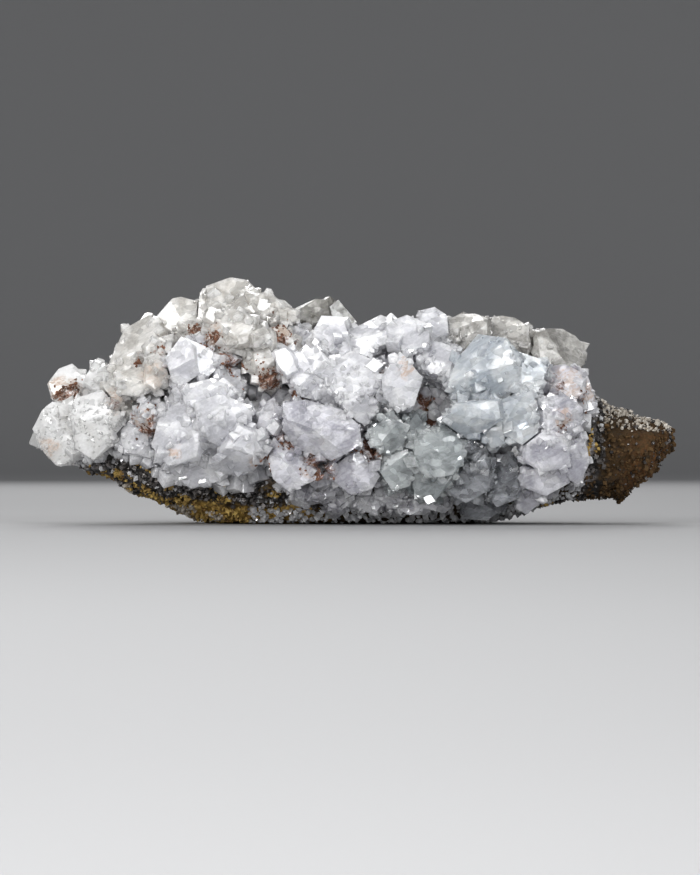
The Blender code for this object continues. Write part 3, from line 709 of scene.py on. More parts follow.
def nothing_selected() -> None:
    """Deselects all objects."""
    if bpy.context.mode != "OBJECT":
        bpy.ops.object.mode_set(mode="OBJECT")
    bpy.ops.object.select_all(action="DESELECT")


def only(obj: Object) -> Object:
    """Makes one object the selected and active one.

    Args:
        obj: The object.

    Returns:
        The same object.
    """
    nothing_selected()
    obj.select_set(True)
    bpy.context.view_layer.objects.active = obj
    return obj


def opened(obj: Object, mode: str = "VERT") -> bmesh.types.BMesh:
    """Opens an object in edit mode with nothing selected.

    Args:
        obj: The object.
        mode: What is selected there: VERT or EDGE.

    Returns:
        Its mesh for editing.
    """
    only(obj)
    bpy.ops.object.mode_set(mode="EDIT")
    bpy.ops.mesh.select_all(action="DESELECT")
    bpy.ops.mesh.select_mode(type=mode)
    return bmesh.from_edit_mesh(obj.data)


def dress(obj: Object, material: Material, node: str = "") -> None:
    """Gives a finished piece its material and body.

    Args:
        obj: The piece.
        material: Its finish.
        node: The solid that it replaces, or nothing.
    """
    obj.data.materials.append(material)
    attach(obj, BODY)
    if node:
        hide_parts(node)
    LOG.info("%s: %d faces", obj.name, len(obj.data.polygons))


def number_faces(mesh: Mesh, name: str, values: list[float]) -> None:
    """Keeps a number for each face of a mesh, which its material reads."""
    mesh.attributes.new(name, "FLOAT", "FACE").data.foreach_set("value", values)


def any_way(rng: Random, spread: float = 1.0) -> Vector:
    """A random vector, as likely to point one way as another."""
    return Vector((rng.gauss(0, spread), rng.gauss(0, spread), rng.gauss(0, spread)))


def copy_of(node: str, name: str) -> Object:
    """Copies a solid of the frame, with its loose triangles merged and flat faces made whole.

    Args:
        node: The solid's name.
        name: The copy's name.

    Returns:
        The copy, standing at the origin.
    """
    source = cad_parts[node]
    mesh = source.data.copy()
    mesh.transform(source.matrix_world)
    mesh.materials.clear()
    copy = bpy.data.objects.new(name, mesh)
    bpy.context.scene.collection.objects.link(copy)
    only(copy)
    bpy.ops.object.mode_set(mode="EDIT")
    bpy.ops.mesh.select_all(action="SELECT")
    bpy.ops.mesh.remove_doubles(threshold=0.002 * MM)
    bpy.ops.mesh.dissolve_limited(angle_limit=math.radians(0.6))
    bpy.ops.object.mode_set(mode="OBJECT")
    return copy


@dataclass
class Template:
    """One crystal shape of size 1, standing on its long axis.

    Attributes:
        points: Its corners.
        faces: The corner numbers of its faces.
    """

    points: np.ndarray
    faces: list[tuple[int, ...]]


@dataclass
class HabitShop:
    """Models each crystal habit once.

    Attributes:
        rim: The width of the bevel along the edges, for a crystal of size 1.
    """

    rim: float = 0.025

    def rhomb(self, height: float) -> None:
        """A cube stood on a corner and stretched along that diagonal.

        Args:
            height: The stretch.
        """
        bpy.ops.mesh.primitive_cube_add(size=0.8)
        bpy.ops.object.mode_set(mode="EDIT")
        middle = (0.0, 0.0, 0.0)
        bpy.ops.transform.rotate(value=math.radians(45), orient_axis="X", center_override=middle)
        lean = math.atan(math.sqrt(0.5))
        bpy.ops.transform.rotate(value=lean, orient_axis="Y", center_override=middle)
        bpy.ops.transform.resize(value=(1.0, 1.0, height), center_override=middle)

    def dogtooth(self) -> None:
        """A double six-sided point whose belt goes up and down."""
        bpy.ops.mesh.primitive_uv_sphere_add(segments=6, ring_count=2, radius=0.5)
        bpy.ops.object.mode_set(mode="EDIT")
        mesh = bmesh.from_edit_mesh(bpy.context.object.data)
        belt = [v for v in mesh.verts if abs(v.co.z) < 0.1]
        belt.sort(key=lambda v: math.atan2(v.co.y, v.co.x))
        for turn, rise in ((0, 0.11), (1, -0.11)):
            bpy.ops.mesh.select_all(action="DESELECT")
            for corner in belt[turn::2]:
                corner.select_set(True)
            mesh.select_flush(True)
            bmesh.update_edit_mesh(bpy.context.object.data)
            bpy.ops.transform.translate(value=(0.0, 0.0, rise))
        bpy.ops.mesh.select_all(action="SELECT")
        bpy.ops.transform.resize(value=(0.85, 0.85, 1.5), center_override=(0.0, 0.0, 0.0))

    def nailhead(self) -> None:
        """A six-sided prism capped by three sloping faces."""
        bpy.ops.mesh.primitive_cylinder_add(vertices=6, radius=0.48, depth=1.6)
        bpy.ops.object.mode_set(mode="EDIT")
        for turn in (0.0, 120.0, 240.0):
            angle, lean = math.radians(turn + 30.0), math.radians(36.0)
            across = math.sin(lean)
            slope = Vector((across * math.cos(angle), across * math.sin(angle), math.cos(lean)))
            bpy.ops.mesh.select_all(action="SELECT")
            bpy.ops.mesh.bisect(plane_co=slope * 0.36, plane_no=slope, use_fill=True, clear_outer=True)

    def template(self, habit: Habit, bevel: bool) -> Template:
        """Models one habit.

        Args:
            habit: Which one.
            bevel: Whether its edges have a narrow bevel.

        Returns:
            The finished shape.
        """
        nothing_selected()
        if habit is Habit.RHOMB:
            self.rhomb(0.7)
        elif habit is Habit.STEEP:
            self.rhomb(1.4)
        elif habit is Habit.DOGTOOTH:
            self.dogtooth()
        else:
            self.nailhead()
        bpy.ops.mesh.select_all(action="SELECT")
        bpy.ops.mesh.remove_doubles(threshold=0.001)
        if bevel:
            bpy.ops.mesh.bevel(offset=self.rim, segments=1, affect="EDGES")
        bpy.ops.mesh.normals_make_consistent(inside=False)
        bpy.ops.object.mode_set(mode="OBJECT")
        obj = bpy.context.object
        points = np.array([v.co[:] for v in obj.data.vertices])
        faces = [tuple(p.vertices) for p in obj.data.polygons]
        bpy.data.objects.remove(obj)
        return Template(points, faces)


@dataclass
class Sprout:
    """One small crystal.

    Attributes:
        place: Its middle.
        turn: Its turn, as a matrix of 3 by 3.
        size: Its width.
        shape: Its shape.
        own: A number of its own from 0 to 1, for its shade.
        shelter: How closed in it stands, which lets rust settle on it.
    """

    place: Vector
    turn: Matrix
    size: float
    shape: Template
    own: float
    shelter: float = 1.0

    def corners(self) -> np.ndarray:
        """Its corners, where it stands."""
        turned = self.shape.points @ np.array(self.turn.transposed()) * self.size
        return turned + np.array(self.place)


def join_sprouts(name: str, sprouts: list[Sprout], material: Material) -> None:
    """Joins many small crystals in one piece, each with its own corners.

    A crystal that would reach out of the specimen's box is left out.

    Args:
        name: The piece's name.
        sprouts: The crystals.
        material: Their finish.
    """
    lowest = np.array(CAD_BOX[0]) - OUTREACH
    lowest[2] = 0.0
    highest = np.array(CAD_BOX[1]) + OUTREACH
    points, faces, owns, shelters = [], [], [], []
    count = 0
    for sprout in sprouts:
        corners = sprout.corners()
        if (corners < lowest).any() or (corners > highest).any():
            continue
        points.append(corners)
        faces.extend(tuple(i + count for i in face) for face in sprout.shape.faces)
        owns.extend([sprout.own] * len(sprout.shape.faces))
        shelters.extend([sprout.shelter] * len(sprout.shape.faces))
        count += len(corners)
    mesh = bpy.data.meshes.new(name)
    mesh.from_pydata(np.concatenate(points).tolist(), [], faces)
    number_faces(mesh, "growth", owns)
    number_faces(mesh, "shelter", shelters)
    obj = bpy.data.objects.new(name, mesh)
    bpy.context.scene.collection.objects.link(obj)
    dress(obj, material)


def upright(axis: Vector, spin: float) -> Matrix:
    """A turn that takes Z to an axis, after a spin about it.

    Args:
        axis: Where Z goes.
        spin: The spin, in radians.

    Returns:
        The turn.
    """
    return (axis.to_track_quat("Z", "Y").to_matrix()) @ Matrix.Rotation(spin, 3, "Z")


@dataclass
class Spot:
    """A place on the solids.

    Attributes:
        place: The point.
        out: The direction away from the surface.
        node: The solid that it is on.
        cover: How closed in it is, from 0 on open faces to 1 deep in a cleft.
    """

    place: Vector
    out: Vector
    node: str
    cover: float


@dataclass
class Ground:
    """The surface of all the solids together.

    Attributes:
        reach: How far a ray looks for cover.
        rays: How many rays look for it.
        closed: The cover from which a place counts as a cleft.
        tree: All the triangles, for rays.
        owners: The solid of each triangle.
        corners: The corners of each triangle.
        areas: The area of each triangle.
    """

    reach: float = 7.0 * MM
    rays: int = 14
    closed: float = 0.42
    tree: BVHTree | None = None
    owners: list[str] = field(default_factory=list)
    corners: np.ndarray | None = None
    areas: np.ndarray | None = None

    def gather(self) -> None:
        """Reads the triangles of every solid in the frame."""
        points, triangles = [], []
        for node in sorted(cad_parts):
            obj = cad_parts[node]
            base = len(points)
            points.extend(obj.matrix_world @ v.co for v in obj.data.vertices)
            obj.data.calc_loop_triangles()
            for triangle in obj.data.loop_triangles:
                triangles.append(tuple(base + i for i in triangle.vertices))
                self.owners.append(node)
        self.tree = BVHTree.FromPolygons(points, triangles)
        flat = np.array([p[:] for p in points])
        self.corners = flat[np.array(triangles)]
        sides = self.corners[:, 1:] - self.corners[:, :1]
        self.areas = np.linalg.norm(np.cross(sides[:, 0], sides[:, 1]), axis=1) / 2.0

    def shut_in(self, place: Vector, out: Vector, air: float) -> bool:
        """Whether there is less than some air in front of a place."""
        return self.tree.ray_cast(place + out * LIFT, out, air)[0] is not None

    def cover(self, place: Vector, out: Vector, rng: Random) -> float:
        """How closed in a place is.

        Args:
            place: The place.
            out: The direction away from the surface.
            rng: The source of random numbers.

        Returns:
            The share of rays that meet another surface nearby.
        """
        met = 0
        start = place + out * LIFT
        for _ in range(self.rays):
            ray = any_way(rng).normalized()
            if ray.dot(out) < 0:
                ray.negate()
            if self.tree.ray_cast(start, ray, self.reach)[0] is not None:
                met += 1
        return met / self.rays

    def spots(self, count: int, seed: int, nodes: tuple[str, ...] = ()) -> list[Spot]:
        """Places spread over the open surface.

        Args:
            count: How many are tried.
            seed: The seed of the random numbers.
            nodes: The solids that are tried, without their cover, or none for all with it.

        Returns:
            Those that aren't shut in.
        """
        rng = Random(seed)
        draw = np.random.default_rng(seed)
        weights = self.areas * np.isin(self.owners, nodes) if nodes else self.areas
        chosen = draw.choice(len(weights), size=count, p=weights / weights.sum())
        found = []
        for index in chosen.tolist():
            a, b, c = (Vector(p) for p in self.corners[index])
            u, v = rng.random(), rng.random()
            if u + v > 1:
                u, v = 1 - u, 1 - v
            place = a + (b - a) * u + (c - a) * v
            out = (b - a).cross(c - a).normalized()
            if self.shut_in(place, out, OPEN_AIR):
                continue
            cover = 0.0 if nodes else self.cover(place, out, rng)
            found.append(Spot(place, out, self.owners[index], cover))
        return found

    def clefts(self, middle: Vector, reach: float, count: int, rng: Random) -> list[Spot]:
        """Places in the clefts around a point.

        Args:
            middle: The point.
            reach: How far they spread.
            count: How many are tried.
            rng: The source of random numbers.

        Returns:
            Those that are closed in, but not shut in.
        """
        found = []
        for _ in range(count):
            place, out, index, _ = self.tree.find_nearest(middle + any_way(rng, 0.5) * reach)
            if self.shut_in(place, out, NARROW_AIR):
                continue
            cover = self.cover(place, out, rng)
            if cover > self.closed:
                found.append(Spot(place, out, self.owners[index], cover))
        return found

    def front(self, x_mm: float, z_mm: float) -> Vector:
        """The nearest place to the front at a given place of the picture.

        Args:
            x_mm: How far right.
            z_mm: How far up.

        Returns:
            The place.
        """
        start = Vector((x_mm * MM, -0.2, z_mm * MM))
        hit = self.tree.ray_cast(start, Vector((0.0, 1.0, 0.0)))[0]
        return hit if hit is not None else Vector((x_mm * MM, 0.0, z_mm * MM))


def spread_out(candidates: list[tuple[Spot, float]], closeness: float) -> list[tuple[Spot, float]]:
    """Drops candidates that stand too close to one that was kept.

    Args:
        candidates: Spots with the size of what would grow there.
        closeness: The least distance, as a share of the mean size.

    Returns:
        The candidates that stay.
    """
    cell = 4.0 * MM
    grid: dict[tuple[int, int, int], list[tuple[Vector, float]]] = {}
    kept = []
    for spot, size in candidates:
        key = tuple(int(math.floor(c / cell)) for c in spot.place)
        near = (
            other
            for dx in (-1, 0, 1)
            for dy in (-1, 0, 1)
            for dz in (-1, 0, 1)
            for other in grid.get((key[0] + dx, key[1] + dy, key[2] + dz), ())
        )
        if any((spot.place - place).length < closeness * (size + width) / 2 for place, width in near):
            continue
        grid.setdefault(key, []).append((spot.place, size))
        kept.append((spot, size))
    return kept


class RockCover(Enum):
    """What covers a part of the rock."""

    CRYSTALS = 1
    BASE_CRUST = 2
    DARK_DRUSE = 3
    OCHRE = 4
    BLOCK = 5
    BLOCK_TOP = 6
    PALE_EDGE = 7


# Along the specimen in millimetres: the lower edge of the crystals, and of the dark druse under them.
EDGES = (
    (-60, 11.0, 11.0), (-50, 10.8, 10.2), (-45.6, 12.6, 10.4), (-40, 12.2, 8.5), (-36, 9.5, 6.3),
    (-30, 7.2, 4.8), (-20, 6.6, 3.7), (-15.6, 8.0, 3.2), (-10, 5.4, 2.4), (-2.5, 3.6, 1.2),
    (8, 0.5, 0.3), (20, 0.3, 0.2), (36, 1.0, 0.8), (41, 3.5, 2.0), (43, 8.0, 4.0),
    (44.4, 26.0, 9.0), (70, 30.0, 9.0),
)

# Where a pale crust covers the ochre edge: from and to across, from and to up, in millimetres.
PALE_SPOTS = ((-48.0, -41.0, 3.0, 7.4), (-36.5, -29.0, 0.8, 3.6), (-27.0, -24.0, 0.5, 2.4))


# More places on the rock in millimetres: the base crust, the right block, the dark band beside it,
# and the back, where the crystals' and the druse's edges lie at least as high as the last two say.
BASE_FROM_MM, BASE_TO_MM, BASE_TOP_MM = -12.0, 40.0, 3.0
WIDE_BASE_FROM_MM = -19.0
BLOCK_FROM_MM, BLOCK_TOP_MM = 43.0, 17.0
BAND_FROM_MM, BAND_TO_MM, BAND_FOOT_MM = 42.6, 46.6, 10.0
BACK_FROM_MM, BACK_CRYSTALS_MM, BACK_DRUSE_MM = 6.0, 6.5, 4.5

# How far up a face looks, from -1 to 1: below the first it is underside, below the second it leans
# down, and above the third it is a top.
UNDERSIDE, LEANING_DOWN, LOOKING_UP = -0.95, -0.5, 0.55


def zone_of(place: Vector, out: Vector) -> RockCover:
    """What covers the rock at a place.

    Args:
        place: The place.
        out: The direction away from the rock.

    Returns:
        The cover.
    """
    x_mm, y_mm, z_mm = (c / MM for c in place)
    if BASE_FROM_MM < x_mm < BASE_TO_MM and z_mm < BASE_TOP_MM:
        return RockCover.BASE_CRUST
    across = [row[0] for row in EDGES]
    crystals = float(np.interp(x_mm, across, [row[1] for row in EDGES]))
    druse = float(np.interp(x_mm, across, [row[2] for row in EDGES]))
    if y_mm > BACK_FROM_MM and x_mm < BLOCK_FROM_MM:
        crystals, druse = max(crystals, BACK_CRYSTALS_MM), max(druse, BACK_DRUSE_MM)
    if z_mm > crystals and out.z > UNDERSIDE:
        return RockCover.BASE_CRUST if out.z < LEANING_DOWN else RockCover.CRYSTALS
    if BAND_FROM_MM < x_mm < BAND_TO_MM and z_mm > BAND_FOOT_MM:
        return RockCover.DARK_DRUSE
    if x_mm > BLOCK_FROM_MM:
        on_top = out.z > LOOKING_UP and z_mm > BLOCK_TOP_MM
        return RockCover.BLOCK_TOP if on_top else RockCover.BLOCK
    if z_mm > druse:
        return RockCover.DARK_DRUSE
    if WIDE_BASE_FROM_MM < x_mm < BASE_TO_MM:
        return RockCover.BASE_CRUST
    for x_from, x_to, z_from, z_to in PALE_SPOTS:
        if x_from < x_mm < x_to and z_from < z_mm < z_to:
            return RockCover.PALE_EDGE
    return RockCover.OCHRE


@dataclass
class LargeCrystals:
    """The large crystals of one cluster, with bevelled edges and growth steps.

    Attributes:
        node: The cluster's solid.
        rim: The width of the bevel along the edges.
        step: The height of a growth step.
        widths: How far from the face's edge the two steps stand.
        stepped: The share of wide faces that have a step.
        bluntest: Edges bent less than this, in degrees, have no bevel.
        shortest: Edges shorter than this have no bevel.
    """

    node: str
    rim: float = 0.16 * MM
    step: float = 0.07 * MM
    widths: tuple[float, float] = (0.9 * MM, 0.45 * MM)
    stepped: float = 0.6
    bluntest: float = 15.0
    shortest: float = 0.5 * MM

    def steps(self, obj: Object) -> None:
        """Insets the wide faces, so that each has a rim and a slightly raised middle.

        Args:
            obj: The crystals.
        """
        rng = Random(len(self.node) * 101)
        for width, rise in zip(self.widths, (self.step, -self.step)):
            mesh = opened(obj)
            for face in mesh.faces:
                shortest = min(edge.calc_length() for edge in face.edges)
                around = face.calc_perimeter()
                wide = shortest > 2.2 * width and face.calc_area() > around * width * 0.9
                if wide and rng.random() < self.stepped:
                    face.select_set(True)
            bmesh.update_edit_mesh(obj.data)
            if any(face.select for face in mesh.faces):
                bpy.ops.mesh.inset(thickness=width, depth=rise, use_individual=True)
            bpy.ops.object.mode_set(mode="OBJECT")

    def bevel(self, obj: Object) -> None:
        """Gives the edges that stand out a narrow bevel.

        Args:
            obj: The crystals.
        """
        mesh = opened(obj, "EDGE")
        sharp = math.radians(self.bluntest)
        for edge in mesh.edges:
            if edge.is_manifold and edge.is_convex and edge.calc_face_angle() > sharp:
                if edge.calc_length() > self.shortest:
                    edge.select_set(True)
        bmesh.update_edit_mesh(obj.data)
        bpy.ops.mesh.bevel(offset=self.rim, segments=1, affect="EDGES", clamp_overlap=True)
        bpy.ops.mesh.select_mode(type="VERT")
        bpy.ops.object.mode_set(mode="OBJECT")

    def build(self, material: Material) -> None:
        """Builds the piece and puts it in the solid's place.

        Args:
            material: Its finish.
        """
        obj = copy_of(self.node, f"{self.node}_large")
        self.bevel(obj)
        self.steps(obj)
        for name, value in (("growth", 0.5), ("shelter", 1.0)):
            number_faces(obj.data, name, [value] * len(obj.data.polygons))
        dress(obj, material, self.node)


# Widths of small crystals in millimetres: on the rock, in clefts, in sugar, in dust, in the dark
# druse and in the base crust. The widths that are chosen from a list vary by a factor.
ROCK_MM = (1.0, 1.4, 1.9, 2.5, 3.1)
CLEFT_MM = (0.7, 0.9, 1.2, 1.6, 2.1)
SUGAR_MM = (0.5, 0.7, 0.9, 1.2, 1.5)
DUST_MM = (0.6, 0.8, 1.0, 1.3)
DRUSE_MM = (0.5, 1.1)
CRUST_MM = (0.45, 1.3)
EITHER_WAY = (0.85, 1.2)

# The same for grains of the matrix and of rust.
GRAIN_MM = (0.3, 0.4, 0.55, 0.8)
RUST_MM = (0.2, 0.3, 0.4, 0.55)

# How often each habit grows, in the order of Habit.
HABIT_SHARES = (4, 3, 2, 3)


@dataclass
class SmallCrystals:
    """The small crystals that fill clefts and stand round the feet of the large ones.

    Attributes:
        ground: The surface of the solids.
        shapes: The modelled habits with bevelled edges.
        plain: The modelled habits with sharp edges, for the finest crystals.
        finest: Crystals smaller than this have sharp edges.
        tried: How many places are tried.
        dusted: How many more are tried on the solids with the finest crust.
        seed: The seed of the random numbers.
        druse: The share of places in the dark druse that take a silvery one.
        closeness: The least distance of two, as a share of their width.
        open_cover: Places on the large crystals that are less covered count as open faces.
        least_cover: Places that are less covered have a small crystal only as sugar.
        cover_range: How much more cover makes one certain.
        sugar_depth: How far back the sugar reaches.
        coarsest: Sugar coarser than this keeps off the tops.
        sway: How far they lean at random.
        sunk: How deep they stand in a cleft, as shares of their width.
        set_in: How deep they stand in an open face.
    """

    ground: Ground
    shapes: dict[Habit, Template]
    plain: dict[Habit, Template]
    finest: float = 0.75 * MM
    tried: int = 54000
    dusted: int = 7000
    seed: int = 5
    druse: float = 0.16
    closeness: float = 0.62
    open_cover: float = 0.45
    least_cover: float = 0.35
    cover_range: float = 0.25
    sugar_depth: float = 8.0 * MM
    coarsest: float = 1.5
    sway: float = 0.38
    sunk: tuple[float, float] = (-0.2, 0.1)
    set_in: tuple[float, float] = (-0.38, -0.18)

    def sugared(self, place: Vector) -> tuple[float, float]:
        """How thickly fine crystals cover the large ones at a place, and how coarse they are."""
        thickest = (0.0, 1.0)
        for x_mm, z_mm, wide_mm, high_mm, cover, coarse in SUGAR:
            apart = math.hypot((place.x / MM - x_mm) / wide_mm, (place.z / MM - z_mm) / high_mm)
            if apart < 1.0 and place.y < self.sugar_depth:
                thickest = max(thickest, (cover, coarse))
        return thickest

    def dust(self, rng: Random) -> list[tuple[Spot, float]]:
        """Spots of the finest crust, which hides the large faces of the left end.

        Args:
            rng: The source of random numbers.

        Returns:
            The spots, with the size of the crystal.
        """
        found = []
        for spot in self.ground.spots(self.dusted, self.seed + 2, DUSTED):
            cover, coarse = self.sugared(spot.place)
            if rng.random() < cover:
                found.append((spot, rng.choice(DUST_MM) * coarse * MM))
        return found

    def candidates(self) -> list[tuple[Spot, float]]:
        """Spots that take a small crystal, with its size, the larger ones first."""
        rng = Random(self.seed)
        found = []
        for spot in self.ground.spots(self.tried, self.seed):
            if spot.node == ROCK:
                cover = zone_of(spot.place, spot.out)
                if cover is RockCover.CRYSTALS:
                    found.append((spot, rng.choice(ROCK_MM) * rng.uniform(*EITHER_WAY) * MM))
                elif cover is RockCover.DARK_DRUSE and rng.random() < self.druse:
                    found.append((spot, rng.uniform(*DRUSE_MM) * MM))
                elif cover is RockCover.BASE_CRUST:
                    found.append((spot, rng.uniform(*CRUST_MM) * MM))
                continue
            sugar, coarse = self.sugared(spot.place)
            chance = (spot.cover - self.least_cover) / self.cover_range
            if coarse > self.coarsest and spot.out.z > 0.45:
                # Coarse ones on the tops would stand up from the outline like teeth.
                sugar = 0.0
            if rng.random() < sugar:
                found.append((spot, rng.choice(SUGAR_MM) * rng.uniform(*EITHER_WAY) * coarse * MM))
            elif rng.random() < chance:
                found.append((spot, rng.choice(CLEFT_MM) * rng.uniform(*EITHER_WAY) * MM))
        found += self.dust(rng)
        found.sort(key=lambda pair: -pair[1])
        return found

    def sprout(self, spot: Spot, size: float, rng: Random) -> Sprout:
        """Grows one crystal at a spot.

        Args:
            spot: Where.
            size: How wide.
            rng: The source of random numbers.

        Returns:
            The crystal.
        """
        sideways = any_way(rng) * self.sway
        away = (spot.place - Vector((spot.place.x * 0.8, 4.0 * MM, 14.0 * MM))).normalized()
        axis = (spot.out * 0.8 + away * 0.5 + sideways).normalized()
        habit = rng.choices(list(Habit), HABIT_SHARES)[0]
        open_face = spot.node != ROCK and spot.cover < self.open_cover
        sunk = rng.uniform(*(self.set_in if open_face else self.sunk))
        place = spot.place + spot.out * size * sunk
        shape = (self.plain if size < self.finest else self.shapes)[habit]
        turn = upright(axis, rng.uniform(0, math.tau))
        return Sprout(place, turn, size, shape, rng.random(), 0.0 if open_face else spot.cover)

    def build(self, materials: dict[str, Material]) -> None:
        """Builds one joined piece for each cluster and one for the rock's clefts.

        Args:
            materials: The finishes by solid.
        """
        rng = Random(self.seed + 1)
        groups: dict[str, list[Sprout]] = {}
        for spot, size in spread_out(self.candidates(), self.closeness):
            groups.setdefault(spot.node, []).append(self.sprout(spot, size, rng))
        for node, sprouts in sorted(groups.items()):
            name = "cleft_crystals" if node == ROCK else f"{node}_small"
            join_sprouts(name, sprouts, materials[node])


@dataclass
class MatrixRock:
    """The broken rock that carries the crystals.

    Attributes:
        pitch: The size of the mesh's cells.
        lump: The height of its broad lumps.
        grit: The height of its grains.
    """

    pitch: float = 0.62 * MM
    lump: float = 1.1 * MM
    grit: float = 0.7 * MM

    def relief(self, obj: Object, kind: str, grain: float, height: float) -> None:
        """Raises the surface by one texture.

        Args:
            obj: The rock.
            kind: The texture's type.
            grain: The size of its lumps.
            height: How high they are.
        """
        texture = bpy.data.textures.new(f"rock_{kind.lower()}", kind)
        texture.noise_scale = grain
        relief = obj.modifiers.new("relief", "DISPLACE")
        relief.texture = texture
        relief.texture_coords = "LOCAL"
        relief.strength = height
        relief.mid_level = 0.6
        bpy.ops.object.modifier_apply(modifier=relief.name)

    def build(self, material: Material) -> None:
        """Builds the rock.

        Args:
            material: Its finish.
        """
        obj = copy_of(ROCK, "broken_matrix_rock")
        remesh = obj.modifiers.new("cells", "REMESH")
        remesh.mode = "VOXEL"
        remesh.voxel_size = self.pitch
        bpy.ops.object.modifier_apply(modifier=remesh.name)
        self.relief(obj, "CLOUDS", 6.0 * MM, self.lump)
        self.relief(obj, "VORONOI", 2.6 * MM, self.grit)
        self.relief(obj, "STUCCI", 1.2 * MM, self.grit * 0.7)
        self.flatten_foot(obj)
        dress(obj, material, ROCK)

    def flatten_foot(self, obj: Object) -> None:
        """Cuts off what the relief pushed below the ground.

        Args:
            obj: The rock.
        """
        points = np.empty(len(obj.data.vertices) * 3)
        obj.data.vertices.foreach_get("co", points)
        points = points.reshape(-1, 3)
        points[:, 2] = np.maximum(points[:, 2], 0.0)
        obj.data.vertices.foreach_set("co", points.ravel())
        obj.data.update()


# The grains on each cover of the rock. Each name has the share of places up to which a draw gives it.
GRAIN_SHARES = {
    RockCover.DARK_DRUSE: (("dark_sparkling_grains", 0.75),),
    RockCover.OCHRE: (("ochre_grains", 0.45),),
    RockCover.BLOCK_TOP: (("pale_crust_grains", 0.45), ("dark_sparkling_grains", 0.6)),
    RockCover.PALE_EDGE: (("pale_crust_grains", 0.7), ("ochre_grains", 1.0)),
    RockCover.BLOCK: (("brown_grains", 0.35), ("dark_sparkling_grains", 0.4)),
}


@dataclass
class MatrixGrains:
    """Small grains on the bare rock: dark sparkling ones, ochre, brown and pale ones.

    Attributes:
        ground: The surface of the solids.
        shapes: The modelled habits.
        tried: How many places are tried.
        patch: How wide the patches of one kind of grain are.
        seed: The seed of the random numbers.
        closeness: The least distance of two, as a share of their width.
    """

    ground: Ground
    shapes: dict[Habit, Template]
    tried: int = 75000
    patch: float = 3.2 * MM
    seed: int = 21
    closeness: float = 0.75

    def kind(self, spot: Spot, rng: Random) -> str:
        """Which grains stand at a spot.

        Args:
            spot: The spot.
            rng: The source of random numbers.

        Returns:
            The grains' name, or nothing.
        """
        draw = rng.random()
        patch = noise.noise(spot.place / self.patch)
        cover = zone_of(spot.place, spot.out)
        if cover is RockCover.DARK_DRUSE and patch > 0.22:
            return "ochre_grains"
        if cover is RockCover.OCHRE and patch <= -0.2 and draw < 0.6:
            return "dark_sparkling_grains"
        for name, share in GRAIN_SHARES.get(cover, ()):
            if draw < share:
                return name
        return ""

    def build(self, finishes: dict[str, Material]) -> None:
        """Builds one joined piece for each kind of grain.

        Args:
            finishes: The finishes by the grains' name.
        """
        rng = Random(self.seed)
        groups: dict[str, list[Sprout]] = {name: [] for name in finishes}
        candidates = [
            (spot, rng.choice(GRAIN_MM) * MM)
            for spot in self.ground.spots(self.tried, self.seed, (ROCK,))
        ]
        for spot, size in spread_out(candidates, self.closeness):
            name = self.kind(spot, rng)
            if not name:
                continue
            axis = (spot.out + any_way(rng) * 0.6).normalized()
            place = spot.place + spot.out * 0.2 * size
            turn = upright(axis, rng.uniform(0, math.tau))
            habit = rng.choice((Habit.RHOMB, Habit.STEEP, Habit.DOGTOOTH))
            groups[name].append(Sprout(place, turn, size, self.shapes[habit], rng.random()))
        for name, sprouts in groups.items():
            join_sprouts(name, sprouts, finishes[name])


@dataclass
class RustFilm:
    """Red-brown grains of rust, where iron has settled between the crystals.

    Attributes:
        ground: The surface of the solids.
        shape: The modelled grain.
        each: How many grains are tried at a place.
        weakest: Stains weaker than this have none.
        seed: The seed of the random numbers.
        spread: How far they spread, as a share of the stain's reach.
        closeness: The least distance of two, as a share of their width.
    """

    ground: Ground
    shape: Template
    each: int = 900
    weakest: float = 0.55
    seed: int = 33
    spread: float = 0.65
    closeness: float = 0.45

    def build(self, stains: list[Stain], material: Material) -> None:
        """Builds the grains as one joined piece.

        Args:
            stains: Where iron has settled.
            material: Their finish.
        """
        rng = Random(self.seed)
        candidates = []
        for stain in stains:
            if stain.strength < self.weakest:
                continue
            reach = stain.reach * self.spread
            for spot in self.ground.clefts(Vector(stain.place), reach, self.each, rng):
                candidates.append((spot, rng.choice(RUST_MM) * MM))
        sprouts = []
        for spot, size in spread_out(candidates, self.closeness):
            turn = upright((spot.out + any_way(rng) * 0.5).normalized(), rng.uniform(0, math.tau))
            place = spot.place - spot.out * 0.1 * size
            sprouts.append(Sprout(place, turn, size, self.shape, rng.random()))
        join_sprouts("rust_grains", sprouts, material)


